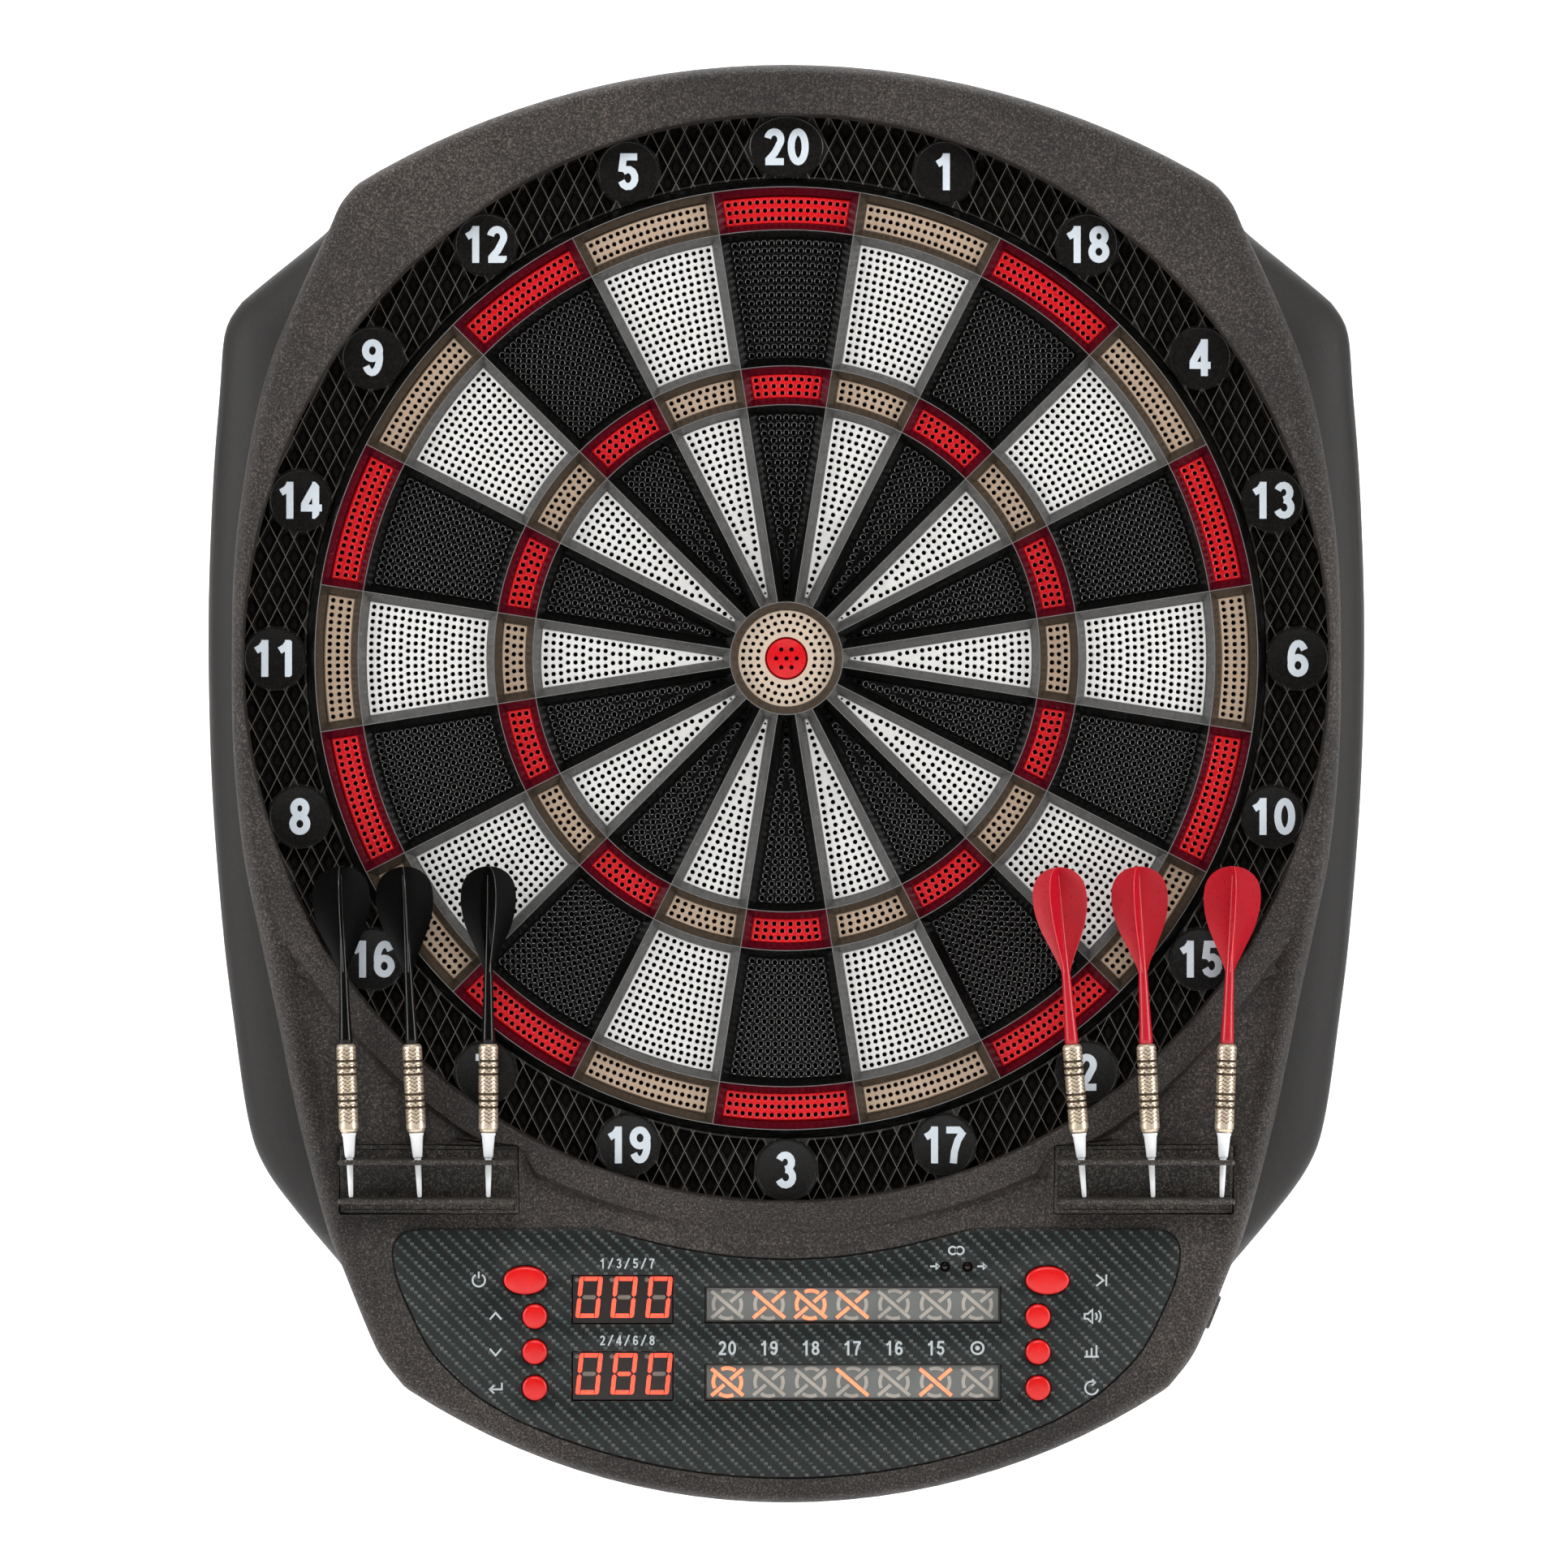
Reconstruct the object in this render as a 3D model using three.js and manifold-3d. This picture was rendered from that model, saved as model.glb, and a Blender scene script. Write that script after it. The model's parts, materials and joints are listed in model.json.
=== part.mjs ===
// Wall-hung electronic soft-tip dartboard with six parked darts.
//
// Everything is modelled in millimetres in "board axes": X to the right, Y up the board and Z straight
// out from the wall, with the origin where the bullseye's axis meets the wall. The exported group turns
// those axes so that the board stands upright: +Z up, front facing -Y, back on the plane Y = 0.

import * as THREE from "three";
import { mergeVertices } from "three/addons/utils/BufferGeometryUtils.js";
import Module from "manifold-3d";

const wasm = await Module();
wasm.setup();

// ---------------------------------------------------------------- driving dimensions (mm)

const DEG = Math.PI / 180;
const GAP = 0.3; // clearance between two separate pieces that touch on the real board
const PAST = 1; // how far a cutter runs past what it cuts

// Target. The radii are the crests of the web that divides the scoring rings.
const SECTORS = 20;
const HALF_SECTOR = 180 / SECTORS * DEG;
const DOUBLE_OUTER = 196.85; // 15.5 inch playing face
const DOUBLE_INNER = 178.9;
const TRIPLE_OUTER = 122.1;
const TRIPLE_INNER = 105.9;
const BULL_OUTER = 23.5;
const BULL_INNER = 8.4;
const WEB_HALF = 3.45; // half the width of a web bar at its foot
const WEB_CREST = 0.25; // half the flat on top of a bar
const WEB_RIM = 200.5; // outside radius of the web
const PAD_GAP = 0.4; // running gap round a scoring pad
const FOOT_GAP = 0.5; // half the gap between the feet of neighbouring sectors
const BULL_RISE = 0.8; // how much the outer bull's face rises towards its middle

// Levels out from the wall.
const BACK_SKIN = 2.5;
const BOARD = [10, 14]; // pressed backing plate
const MATRIX = [14.4, 15.4]; // membrane switch sheet
const MAT = [15.8, 21.8]; // rubber mat
const SEGMENT_TRAVEL = 1.5;
const SEGMENT_FOOT = [MAT[1] + GAP + SEGMENT_TRAVEL, 26.1]; // flange of a segment
const SEGMENT_FACE = 33.5;
const WEB = [26.6, 37.5]; // foot and crest of the bars
const CATCH = [29, 33]; // catch ring plate
const DISC_TOP = 35.5; // number discs
const DECK = 28; // front of the rear housing
const FRONT = 46; // front face of the bezel
const POCKET_FLOOR = 41; // floor of the recess behind the parked darts

// Housing.
const OPENING = 226; // radius of the round opening in the bezel
const OPENING_SIDES = 40;
const COLLAR = 2.4; // wall round that opening
const COLLAR_FOOT = 34;
const SKIN = 3;
const RING_BAND = 13; // raised band between the opening and a dart recess
const EDGE_ROUND = 5; // rounding of the bezel's outer edge, cut as two slopes
const EDGE_STEP = 1.6;
const REAR_INSET = 0.8; // the rear housing stands this much inside the bezel
const RIB = [180, 184]; // radii of the ring that carries the backing plate
const TOP_Y = 247.6;
const TOP_RADIUS = 348;
const BOTTOM_Y = -352.3;
const BOTTOM_RADIUS = 288;

// Catch ring and its number discs.
const CATCH_OUTER = 227.4;
const CATCH_INNER = WEB_RIM + GAP;
const DISC_RADIUS = 12.5;
const DISC_CENTRE = 213;

// Control panel: a fascia in a recess, with displays and buttons behind it.
const FASCIA = [43.9, 45.6];
const LEDGE = 43.6; // what the fascia rests on
const LEDGE_WIDTH = 4;
const PCB = [30, 31.6];
const PCB_SIZE = [252, 74];
const PCB_Y = -282;
const PCB_NOTCH = [60, 20]; // cut from each lower corner
const PCB_NOTCH_SPOT = [110, -316];
const KEY_SIZE = 6;
const KEY_TOP = 33;
const LAMP_TOP = 43.2;
const DISPLAY_FACE = 43.4;
const DISPLAY_FIT = 0.6; // how much narrower a display is than its window
const SCORE_SIZE = [43.3, 21.6];
const SCORE_X = -68.2;
const SCORE_YS = [-267.1, -299];
const CRICKET_SIZE = [124.4, 16.5];
const CRICKET_X = 27.7;
const CRICKET_YS = [-269.3, -301.6];
const LAMP_RADIUS = 2.2;
const LAMP_SPOTS = [[66, -253.4], [75.4, -253.4]];
const BUTTON_TRAVEL = 1.2;
const BUTTON_TOP = 47.9;
const BUTTON_RADIUS = 5.1;
const WIDE_BUTTON = [9, 5.8]; // half axes of the two oval buttons
const BUTTON_FIT = 0.4; // running gap round a button
const BUTTON_FLANGE = 1.4; // keeps a button behind the fascia
const BUTTON_STEM = 2;
const BUTTON_SIDES = 12;
const BUTTON_COLUMN = 104.7;
const WIDE_COLUMN = 108.6;
const BUTTON_ROWS = [-259, -274, -288.8, -303.8];
const LEFT_BUTTONS = ["on_off", "up", "down", "enter"];
const RIGHT_BUTTONS = ["next", "sound", "handicap", "miss_reset"];

// Dart holders and darts.
const HOLDER_SIZE = [74.3, 28.4, 2.2];
const HOLDER_X = 148.8;
const HOLDER_Y = -217.2;
const SHELF_DEPTH = 15.5;
const SHELF_THICK = 2;
const SHELF_YS = [7.9, -8.3]; // from the holder's centre
const DART_PITCH = 28.5;
const DART_SHIFT = 3.4; // the middle dart stands this much outside the holder's middle
const DART_Z = 52; // axis of a parked dart
const SHELF_HOLES = [2.9, 0.7]; // half width of the holes in the upper and lower shelf
const DART_FOOT = HOLDER_Y + SHELF_YS[1] + SHELF_THICK / 2 + GAP; // points stand on the lower shelf
const DART_LEANS = { left: [-1.9, -2.9, 0], right: [-4.7, -2.6, 2] };
const DART_TURNS = { left: [0, 6, 18], right: [-22, -14, 3] };
const DART_SIDES = 6;
const VANE_THICK = 0.9;

// Fasteners and wall fixing.
const SCREW_SPOTS = [[170, 176], [178, -196], [90, -328]];
const SCREW_SHANK = 1.5;
const SCREW_HEAD = 3.4;
const BOSS = 4.6;
const SCREW_END = 37; // level its tip reaches
const KEYHOLE_SPOT = [130, 140];
const KEYHOLE_HEAD = 4.5;
const KEYHOLE_SLOT = [4.4, 11]; // width and rise

// Speaker, with sound slots through the back, and the power jack on the lower right flank.
const SPEAKER = [62, -284];
const SPEAKER_RADIUS = 25;
const SPEAKER_MAGNET = 13;
const SPEAKER_TOP = 19;
const SOUND_SLOT = [2.6, 30];
const SOUND_PITCH = 7;
const JACK = { x: 177.2, y: -273.8, level: 14, turn: -22 * DEG, long: 14.6, tall: 12, proud: 3.4, deep: 12 };
const JACK_BORE = 2.9;

// ---------------------------------------------------------------- solids

// The same surface with only positions, and one vertex wherever corners meet.
function welded(geometry) {
  const bare = geometry.index ? geometry.toNonIndexed() : geometry.clone();
  for (const name of Object.keys(bare.attributes)) {
    if (name !== "position") bare.deleteAttribute(name);
  }
  return mergeVertices(bare, 1e-4);
}

function solid(geometry) {
  const surface = welded(geometry);
  return new wasm.Manifold(new wasm.Mesh({
    numProp: 3,
    vertProperties: new Float32Array(surface.attributes.position.array),
    triVerts: new Uint32Array(surface.index.array),
  }));
}

function geometryOf(body) {
  const mesh = body.getMesh();
  const geometry = new THREE.BufferGeometry();
  geometry.setAttribute("position", new THREE.BufferAttribute(mesh.vertProperties, 3));
  geometry.setIndex(new THREE.BufferAttribute(mesh.triVerts, 1));
  geometry.computeVertexNormals();
  return geometry;
}

const join = (first, ...rest) => rest.reduce((a, b) => a.add(b), first);
const cut = (first, ...rest) => rest.reduce((a, b) => a.subtract(b), first);

// A flat shape given thickness from one level to another.
function plate(shape, from, to) {
  const settings = { depth: to - from, bevelEnabled: false, curveSegments: 6 };
  const geometry = new THREE.ExtrudeGeometry(shape, settings);
  geometry.translate(0, 0, from);
  return solid(geometry);
}

function block(width, height, from, to, x = 0, y = 0) {
  const geometry = new THREE.BoxGeometry(width, height, to - from);
  geometry.translate(x, y, (from + to) / 2);
  return solid(geometry);
}

// A turned body standing on the board. Profile points are [radius, level], in counter-clockwise order.
function turned(profile, sides, x = 0, y = 0, phase = 0) {
  const geometry = welded(new THREE.LatheGeometry(profile.map(([r, z]) => new THREE.Vector2(r, z)), sides));
  geometry.rotateX(Math.PI / 2);
  geometry.rotateZ(phase);
  geometry.translate(x, y, 0);
  return solid(geometry);
}

const rod = (radius, from, to, sides, x = 0, y = 0) =>
  turned([[0, from], [radius, from], [radius, to], [0, to]], sides, x, y);

const tube = (inner, outer, from, to, sides, x = 0, y = 0) =>
  turned([[inner, from], [outer, from], [outer, to], [inner, to], [inner, from]], sides, x, y);

// A closed surface through loops of equal length. Each layer is [loop of Vector2, level].
function loftSurface(layers) {
  const count = layers[0][0].length;
  const positions = [];
  const triangles = [];
  for (const [loop, level] of layers) {
    for (const p of loop) positions.push(p.x, p.y, level);
  }
  for (let layer = 0; layer + 1 < layers.length; layer++) {
    for (let i = 0; i < count; i++) {
      const a = layer * count + i;
      const b = layer * count + (i + 1) % count;
      triangles.push(a, b, b + count, a, b + count, a + count);
    }
  }
  const caps = THREE.ShapeUtils.triangulateShape(layers[0][0], []);
  const top = (layers.length - 1) * count;
  for (const [a, b, c] of caps) {
    triangles.push(a, c, b);
    triangles.push(top + a, top + b, top + c);
  }
  const geometry = new THREE.BufferGeometry();
  geometry.setAttribute("position", new THREE.Float32BufferAttribute(positions, 3));
  geometry.setIndex(triangles);
  return geometry;
}

const loft = (layers) => solid(loftSurface(layers));

// ---------------------------------------------------------------- outlines

// The loop moved inwards by a distance, with mitred corners, for a counter-clockwise loop.
function inset(loop, distance) {
  const count = loop.length;
  const inward = (from, to) => new THREE.Vector2(from.y - to.y, to.x - from.x).normalize();
  return loop.map((p, i) => {
    const before = inward(loop[(i + count - 1) % count], p);
    const after = inward(p, loop[(i + 1) % count]);
    const mitre = distance / Math.max(0.35, 1 + before.dot(after));
    return p.clone().addScaledVector(before.add(after), mitre);
  });
}

// A counter-clockwise loop from points that run up its right side, mirrored to the left.
function mirrored(right) {
  const left = right.filter((p) => Math.abs(p.x) > 1e-6).map((p) => new THREE.Vector2(-p.x, p.y));
  return [...right, ...left.reverse()];
}

function arcPoints(radius, centreY, fromX, toX, steps, side) {
  const from = Math.asin(fromX / radius);
  const to = Math.asin(toX / radius);
  return Array.from({ length: steps + 1 }, (_, i) => {
    const angle = from + (to - from) * i / steps;
    return new THREE.Vector2(radius * Math.sin(angle), centreY + side * radius * Math.cos(angle));
  });
}

function splinePoints(knots, steps) {
  return new THREE.SplineCurve(knots.map(([x, y]) => new THREE.Vector2(x, y))).getPoints(steps);
}

// The raised bezel: two long arcs joined by bulging sides, with a shoulder above and a chin corner below.
function bezelOutline() {
  const chin = arcPoints(BOTTOM_RADIUS, BOTTOM_Y + BOTTOM_RADIUS, 0, 146, 5, -1);
  const side = splinePoints([
    [159, -304.5], [168.5, -292.5], [174.5, -280.5], [185, -254.5], [192, -236.5], [203.5, -193], [212, -152],
    [220, -114], [226.5, -82], [230.6, -40], [231.3, 5], [230, 45], [224, 88], [216.5, 120], [207.5, 143],
    [197.5, 165], [190.5, 179.5], [186, 189.5], [179.5, 197.5],
  ], 18);
  const crown = arcPoints(TOP_RADIUS, TOP_Y - TOP_RADIUS, 170.5, 0, 6, 1);
  return mirrored([...chin, ...side, ...crown]);
}

// The rear housing's side wings, wider than the bezel between shoulder and chin.
function wingOutline() {
  const side = splinePoints([
    [205, -234.6], [220, -214], [227, -194], [233, -153], [238, -111], [242.5, -50], [243.8, 15], [242, 72],
    [239, 113], [237, 137], [232, 147.7], [225, 154.8],
  ], 12);
  return mirrored([
    new THREE.Vector2(0, -285), new THREE.Vector2(164, -285), ...side, new THREE.Vector2(166, 205),
    new THREE.Vector2(0, 205),
  ]);
}

// The fascia: a crescent whose top edge dips under the target.
function fasciaOutline() {
  const bottom = arcPoints(274, -341 + 274, 0, 96, 4, -1);
  const side = splinePoints([
    [111.5, -317.2], [127.5, -307.6], [139.8, -297], [148.8, -286.4], [156, -272.4], [161.2, -260.1],
    [163.4, -249.6], [162.6, -243.6], [158.6, -239.3], [152, -237.8],
  ], 12);
  const top = splinePoints([[79, -237.8], [66, -241], [46, -245.8], [22, -249.6], [0, -250.8]], 6);
  return mirrored([...bottom, ...side, ...top]);
}

// The recess behind three parked darts, between the ring round the target and the side of the bezel.
function pocketOutline() {
  const ring = OPENING + RING_BAND;
  const arc = Array.from({ length: 7 }, (_, i) => {
    const angle = (-58 + 5 * i) * DEG;
    return new THREE.Vector2(ring * Math.cos(angle), ring * Math.sin(angle));
  });
  const side = splinePoints([[207, -136], [199, -176], [190, -208], [182, -229]], 6);
  return [...arc, ...side, new THREE.Vector2(175, -235), new THREE.Vector2(108, -235)].reverse();
}

const shapeOf = (loop) => new THREE.Shape(loop);
const flippedSide = (loop) => loop.map((p) => new THREE.Vector2(-p.x, p.y)).reverse();

// ---------------------------------------------------------------- target

// One cell of the target between two radii, drawn in by `side` from its neighbours in every direction.
// The cell is centred on the +Y axis. Its arcs are single chords up to the triple ring and two beyond it.
function cellLoop(inner, outer, side) {
  const arc = (radius, turn) => {
    const reach = HALF_SECTOR - Math.asin(side / radius);
    const steps = radius < TRIPLE_OUTER + 2 * WEB_HALF ? 1 : 2;
    return Array.from({ length: steps + 1 }, (_, i) => {
      const angle = turn * reach * (1 - 2 * i / steps);
      return new THREE.Vector2(radius * Math.sin(angle), radius * Math.cos(angle));
    });
  };
  return [...arc(inner + side, -1), ...arc(outer - side, 1)];
}

const RINGS = [
  [BULL_OUTER, TRIPLE_INNER],
  [TRIPLE_INNER, TRIPLE_OUTER],
  [TRIPLE_OUTER, DOUBLE_INNER],
  [DOUBLE_INNER, DOUBLE_OUTER],
];

// One number's four scoring pads on their common foot.
function sectorPads() {
  const foot = plate(shapeOf(cellLoop(BULL_OUTER, DOUBLE_OUTER, FOOT_GAP)), ...SEGMENT_FOOT);
  const pads = RINGS.map(([inner, outer]) =>
    plate(shapeOf(cellLoop(inner, outer, WEB_HALF + PAD_GAP)), SEGMENT_FOOT[1] - 1, SEGMENT_FACE));
  return geometryOf(join(foot, ...pads));
}

// A window through the web, for one cell: its sides slope from the foot of the bars to their crest.
function webWindow(inner, outer) {
  const slope = (WEB_HALF - WEB_CREST) / (WEB[1] - WEB[0]);
  const foot = cellLoop(inner, outer, WEB_HALF + slope);
  const crest = cellLoop(inner, outer, WEB_CREST - slope / 2);
  return loftSurface([[foot, WEB[0] - 1], [crest, WEB[1] + 0.5]]);
}

function webGeometry() {
  const edge = WEB[0] + (WEB[1] - WEB[0]) / 2;
  let web = turned([[0, WEB[0]], [WEB_RIM, WEB[0]], [WEB_RIM, edge], [DOUBLE_OUTER + WEB_CREST, WEB[1]],
    [0, WEB[1]]], 2 * SECTORS, 0, 0, HALF_SECTOR);
  for (const [inner, outer] of RINGS) {
    const window = webWindow(inner, outer);
    for (let i = 0; i < SECTORS; i++) web = web.subtract(solid(window.clone().rotateZ(2 * HALF_SECTOR * i)));
  }
  const bull = turned([
    [0, WEB[0] - PAST], [BULL_OUTER - WEB_HALF, WEB[0] - PAST], [BULL_OUTER - WEB_CREST, WEB[1] + PAST],
    [0, WEB[1] + PAST],
  ], SECTORS, 0, 0, HALF_SECTOR);
  return geometryOf(web.subtract(bull));
}

function outerBull() {
  const inner = BULL_INNER + PAD_GAP;
  const rim = BULL_OUTER - 2 * FOOT_GAP;
  const outer = BULL_OUTER - WEB_HALF - PAD_GAP;
  const [foot, flange] = SEGMENT_FOOT;
  const profile = [
    [inner, foot], [rim, foot], [rim, flange], [outer, flange], [outer, SEGMENT_FACE],
    [inner, SEGMENT_FACE + BULL_RISE], [inner, foot],
  ];
  return geometryOf(turned(profile, SECTORS, 0, 0, HALF_SECTOR));
}

const innerBull = () => geometryOf(turned([
  [0, SEGMENT_FOOT[0]], [BULL_INNER, SEGMENT_FOOT[0]], [BULL_INNER, SEGMENT_FACE + BULL_RISE / 2],
  [0, SEGMENT_FACE + 2 * BULL_RISE],
], SECTORS, 0, 0, HALF_SECTOR));

function catchRing() {
  const plateRing = tube(CATCH_INNER, CATCH_OUTER, CATCH[0], CATCH[1], 2 * SECTORS);
  const discs = Array.from({ length: SECTORS }, (_, i) => {
    const angle = i * 2 * HALF_SECTOR;
    const [x, y] = [DISC_CENTRE * Math.sin(angle), DISC_CENTRE * Math.cos(angle)];
    return rod(DISC_RADIUS, CATCH[1] - 1, DISC_TOP, 8, x, y);
  });
  const clear = rod(CATCH_INNER, CATCH[1] - 2, DISC_TOP + 1, 2 * SECTORS);
  return geometryOf(join(plateRing, ...discs).subtract(clear));
}

// ---------------------------------------------------------------- housing

const pairs = (spots) => spots.flatMap(([x, y]) => [[x, y], [-x, y]]);

function frontBezel() {
  const outline = bezelOutline();
  const body = loft([[outline, DECK + GAP], [outline, FRONT - EDGE_ROUND],
    [inset(outline, EDGE_STEP), FRONT - EDGE_STEP], [inset(outline, EDGE_ROUND), FRONT]]);
  const hollow = loft([[inset(outline, SKIN), DECK - PAST], [inset(outline, SKIN), FRONT - SKIN - 1]]);
  const collar = rod(OPENING + COLLAR, COLLAR_FOOT, FRONT - 2, OPENING_SIDES);
  let bezel = join(cut(body, hollow), collar);
  for (const [x, y] of pairs(SCREW_SPOTS)) {
    bezel = bezel.add(rod(BOSS, DECK + 2 * GAP, FRONT - SKIN, 10, x, y));
    bezel = bezel.subtract(rod(SCREW_SHANK + GAP, DECK, SCREW_END + GAP, 8, x, y));
  }
  for (const loop of [pocketOutline(), flippedSide(pocketOutline())]) {
    bezel = bezel.add(loft([[inset(loop, -2), POCKET_FLOOR - SKIN], [inset(loop, -2), FRONT - 1]]));
    bezel = bezel.subtract(loft([[inset(loop, 3), POCKET_FLOOR], [loop, FRONT], [loop, FRONT + PAST]]));
  }
  const [width, height] = HOLDER_SIZE.map((size) => size + 2 * GAP);
  for (const x of [-HOLDER_X, HOLDER_X]) {
    bezel = bezel.subtract(block(width, height, POCKET_FLOOR, FRONT + PAST, x, HOLDER_Y));
  }
  const seat = fasciaOutline();
  bezel = bezel.subtract(loft([[inset(seat, -GAP), LEDGE], [inset(seat, -GAP), FRONT + PAST]]));
  bezel = bezel.subtract(loft([[inset(seat, LEDGE_WIDTH), DECK], [inset(seat, LEDGE_WIDTH), FRONT]]));
  return geometryOf(bezel.subtract(rod(OPENING, DECK - PAST, FRONT + PAST, OPENING_SIDES)));
}

function keyhole(x, y) {
  const [width, rise] = KEYHOLE_SLOT;
  const reach = [-PAST, BACK_SKIN + PAST];
  return join(rod(KEYHOLE_HEAD, ...reach, 12, x, y), block(width, rise, ...reach, x, y + rise / 2));
}

function rearHousing() {
  const outline = inset(bezelOutline(), REAR_INSET);
  const wings = wingOutline();
  const trunk = loft([[inset(outline, 2.4), 0], [outline, 3], [outline, DECK]]);
  const sides = loft([[inset(wings, 4), 0], [wings, 6], [wings, 16], [inset(wings, 4), 23],
    [inset(wings, 12), DECK]]);
  const trunkHollow = loft([[inset(outline, SKIN), BACK_SKIN], [inset(outline, SKIN), DECK - SKIN]]);
  const sideHollow = loft([[inset(wings, 4.2), BACK_SKIN], [inset(wings, 4.2), 14], [inset(wings, 13), 23]]);
  const mouth = loft([[inset(outline, 8), BACK_SKIN + 1], [inset(outline, 8), DECK + PAST]]);
  let housing = cut(join(trunk, sides), trunkHollow, sideHollow, mouth);
  housing = housing.add(tube(...RIB, BACK_SKIN - 1, BOARD[0] - GAP, 2 * SECTORS));
  for (const [x, y] of pairs(SCREW_SPOTS)) {
    housing = housing.add(rod(BOSS, 1, DECK, 10, x, y));
    const shank = rod(SCREW_SHANK + GAP, -PAST, DECK + PAST, 8, x, y);
    const well = rod(SCREW_HEAD + 0.5, -PAST, 4, 12, x, y);
    housing = cut(housing, shank, well);
  }
  housing = cut(housing, ...pairs([KEYHOLE_SPOT]).map(([x, y]) => keyhole(x, y)));
  for (let i = -2; i <= 2; i++) {
    const slot = block(...SOUND_SLOT, -PAST, BACK_SKIN + PAST, SPEAKER[0] + SOUND_PITCH * i, SPEAKER[1]);
    housing = housing.subtract(slot);
  }
  return geometryOf(housing.subtract(jackCutter()));
}

// ---------------------------------------------------------------- power jack on the lower right flank

// A box lying across the housing's flank, from `inward` mm inside the wall to `outward` mm outside it.
function flankBox(long, tall, inward, outward) {
  const geometry = new THREE.BoxGeometry(inward + outward, long, tall);
  geometry.translate((outward - inward) / 2, 0, JACK.level);
  geometry.rotateZ(JACK.turn);
  geometry.translate(JACK.x, JACK.y, 0);
  return solid(geometry);
}

const jackCutter = () => flankBox(JACK.long - 2 + GAP, JACK.tall - 2 + GAP, JACK.deep + GAP, 10);

function powerJack() {
  const body = join(flankBox(JACK.long - 2 - GAP, JACK.tall - 2 - GAP, JACK.deep, 1),
    flankBox(JACK.long, JACK.tall, -GAP, JACK.proud));
  const socket = new THREE.CylinderGeometry(JACK_BORE, JACK_BORE, 20, 12);
  socket.rotateZ(Math.PI / 2);
  socket.translate(2, 0, JACK.level);
  socket.rotateZ(JACK.turn);
  socket.translate(JACK.x, JACK.y, 0);
  return geometryOf(body.subtract(solid(socket)));
}

// ---------------------------------------------------------------- control panel

function oval(halfX, halfY, x, y, steps) {
  return Array.from({ length: steps }, (_, i) => {
    const angle = 2 * Math.PI * i / steps;
    return new THREE.Vector2(x + halfX * Math.cos(angle), y + halfY * Math.sin(angle));
  });
}

const ovalRod = (halfX, halfY, x, y, from, to, steps) =>
  loft([[oval(halfX, halfY, x, y, steps), from], [oval(halfX, halfY, x, y, steps), to]]);

// Name, x, y and whether it is one of the two oval buttons.
function buttonPlaces() {
  const column = (names, side) => names.map((name, row) =>
    [name, side * (row ? BUTTON_COLUMN : WIDE_COLUMN), BUTTON_ROWS[row], row === 0]);
  return [...column(LEFT_BUTTONS, -1), ...column(RIGHT_BUTTONS, 1)];
}

const buttonAxes = (wide) => (wide ? WIDE_BUTTON : [BUTTON_RADIUS, BUTTON_RADIUS]);

function fascia() {
  let panel = loft([[fasciaOutline(), FASCIA[0]], [fasciaOutline(), FASCIA[1]]]);
  const reach = [FASCIA[0] - PAST, FASCIA[1] + PAST];
  for (const y of SCORE_YS) panel = panel.subtract(block(...SCORE_SIZE, ...reach, SCORE_X, y));
  for (const y of CRICKET_YS) panel = panel.subtract(block(...CRICKET_SIZE, ...reach, CRICKET_X, y));
  for (const [, x, y, wide] of buttonPlaces()) {
    const [a, b] = buttonAxes(wide);
    panel = panel.subtract(ovalRod(a + BUTTON_FIT, b + BUTTON_FIT, x, y, ...reach, BUTTON_SIDES));
  }
  for (const [x, y] of LAMP_SPOTS) panel = panel.subtract(rod(LAMP_RADIUS, ...reach, 8, x, y));
  return geometryOf(panel);
}

// A button: domed cap, retaining flange behind the fascia and a stem to its switch.
function button(wide) {
  const [a, b] = buttonAxes(wide);
  const ring = (grow, level) => [oval(a + grow, b + grow, 0, 0, BUTTON_SIDES), level];
  const flange = [ring(BUTTON_FLANGE, 41), ring(BUTTON_FLANGE, 43), ring(0, 43.2)];
  const shoulder = [ring(0, BUTTON_TOP - 1.2), ring(-1.2, BUTTON_TOP - 0.3), ring(-3.4, BUTTON_TOP)];
  const cap = loft([...flange, ...shoulder]);
  return geometryOf(join(cap, rod(BUTTON_STEM, KEY_TOP + GAP + BUTTON_TRAVEL, 42, 6)));
}

// The circuit board with its soldered key switches and indicator lamps.
function circuitBoard() {
  let sheet = block(...PCB_SIZE, ...PCB, 0, PCB_Y);
  for (const [x, y] of pairs([PCB_NOTCH_SPOT])) {
    sheet = sheet.subtract(block(...PCB_NOTCH, PCB[0] - PAST, PCB[1] + PAST, x, y));
  }
  const root = PCB[1] - 0.5;
  for (const [, x, y] of buttonPlaces()) sheet = sheet.add(block(KEY_SIZE, KEY_SIZE, root, KEY_TOP, x, y));
  for (const [x, y] of LAMP_SPOTS) sheet = sheet.add(rod(LAMP_RADIUS - 0.7, root, LAMP_TOP, 8, x, y));
  return geometryOf(sheet);
}

function speaker() {
  const foot = BACK_SKIN + GAP;
  const basket = [[0, foot], [SPEAKER_RADIUS, foot], [SPEAKER_RADIUS, 6], [SPEAKER_MAGNET, 12]];
  const magnet = [[SPEAKER_MAGNET, SPEAKER_TOP], [0, SPEAKER_TOP]];
  return geometryOf(turned([...basket, ...magnet], SECTORS, ...SPEAKER));
}

// ---------------------------------------------------------------- dart holders and darts

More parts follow.
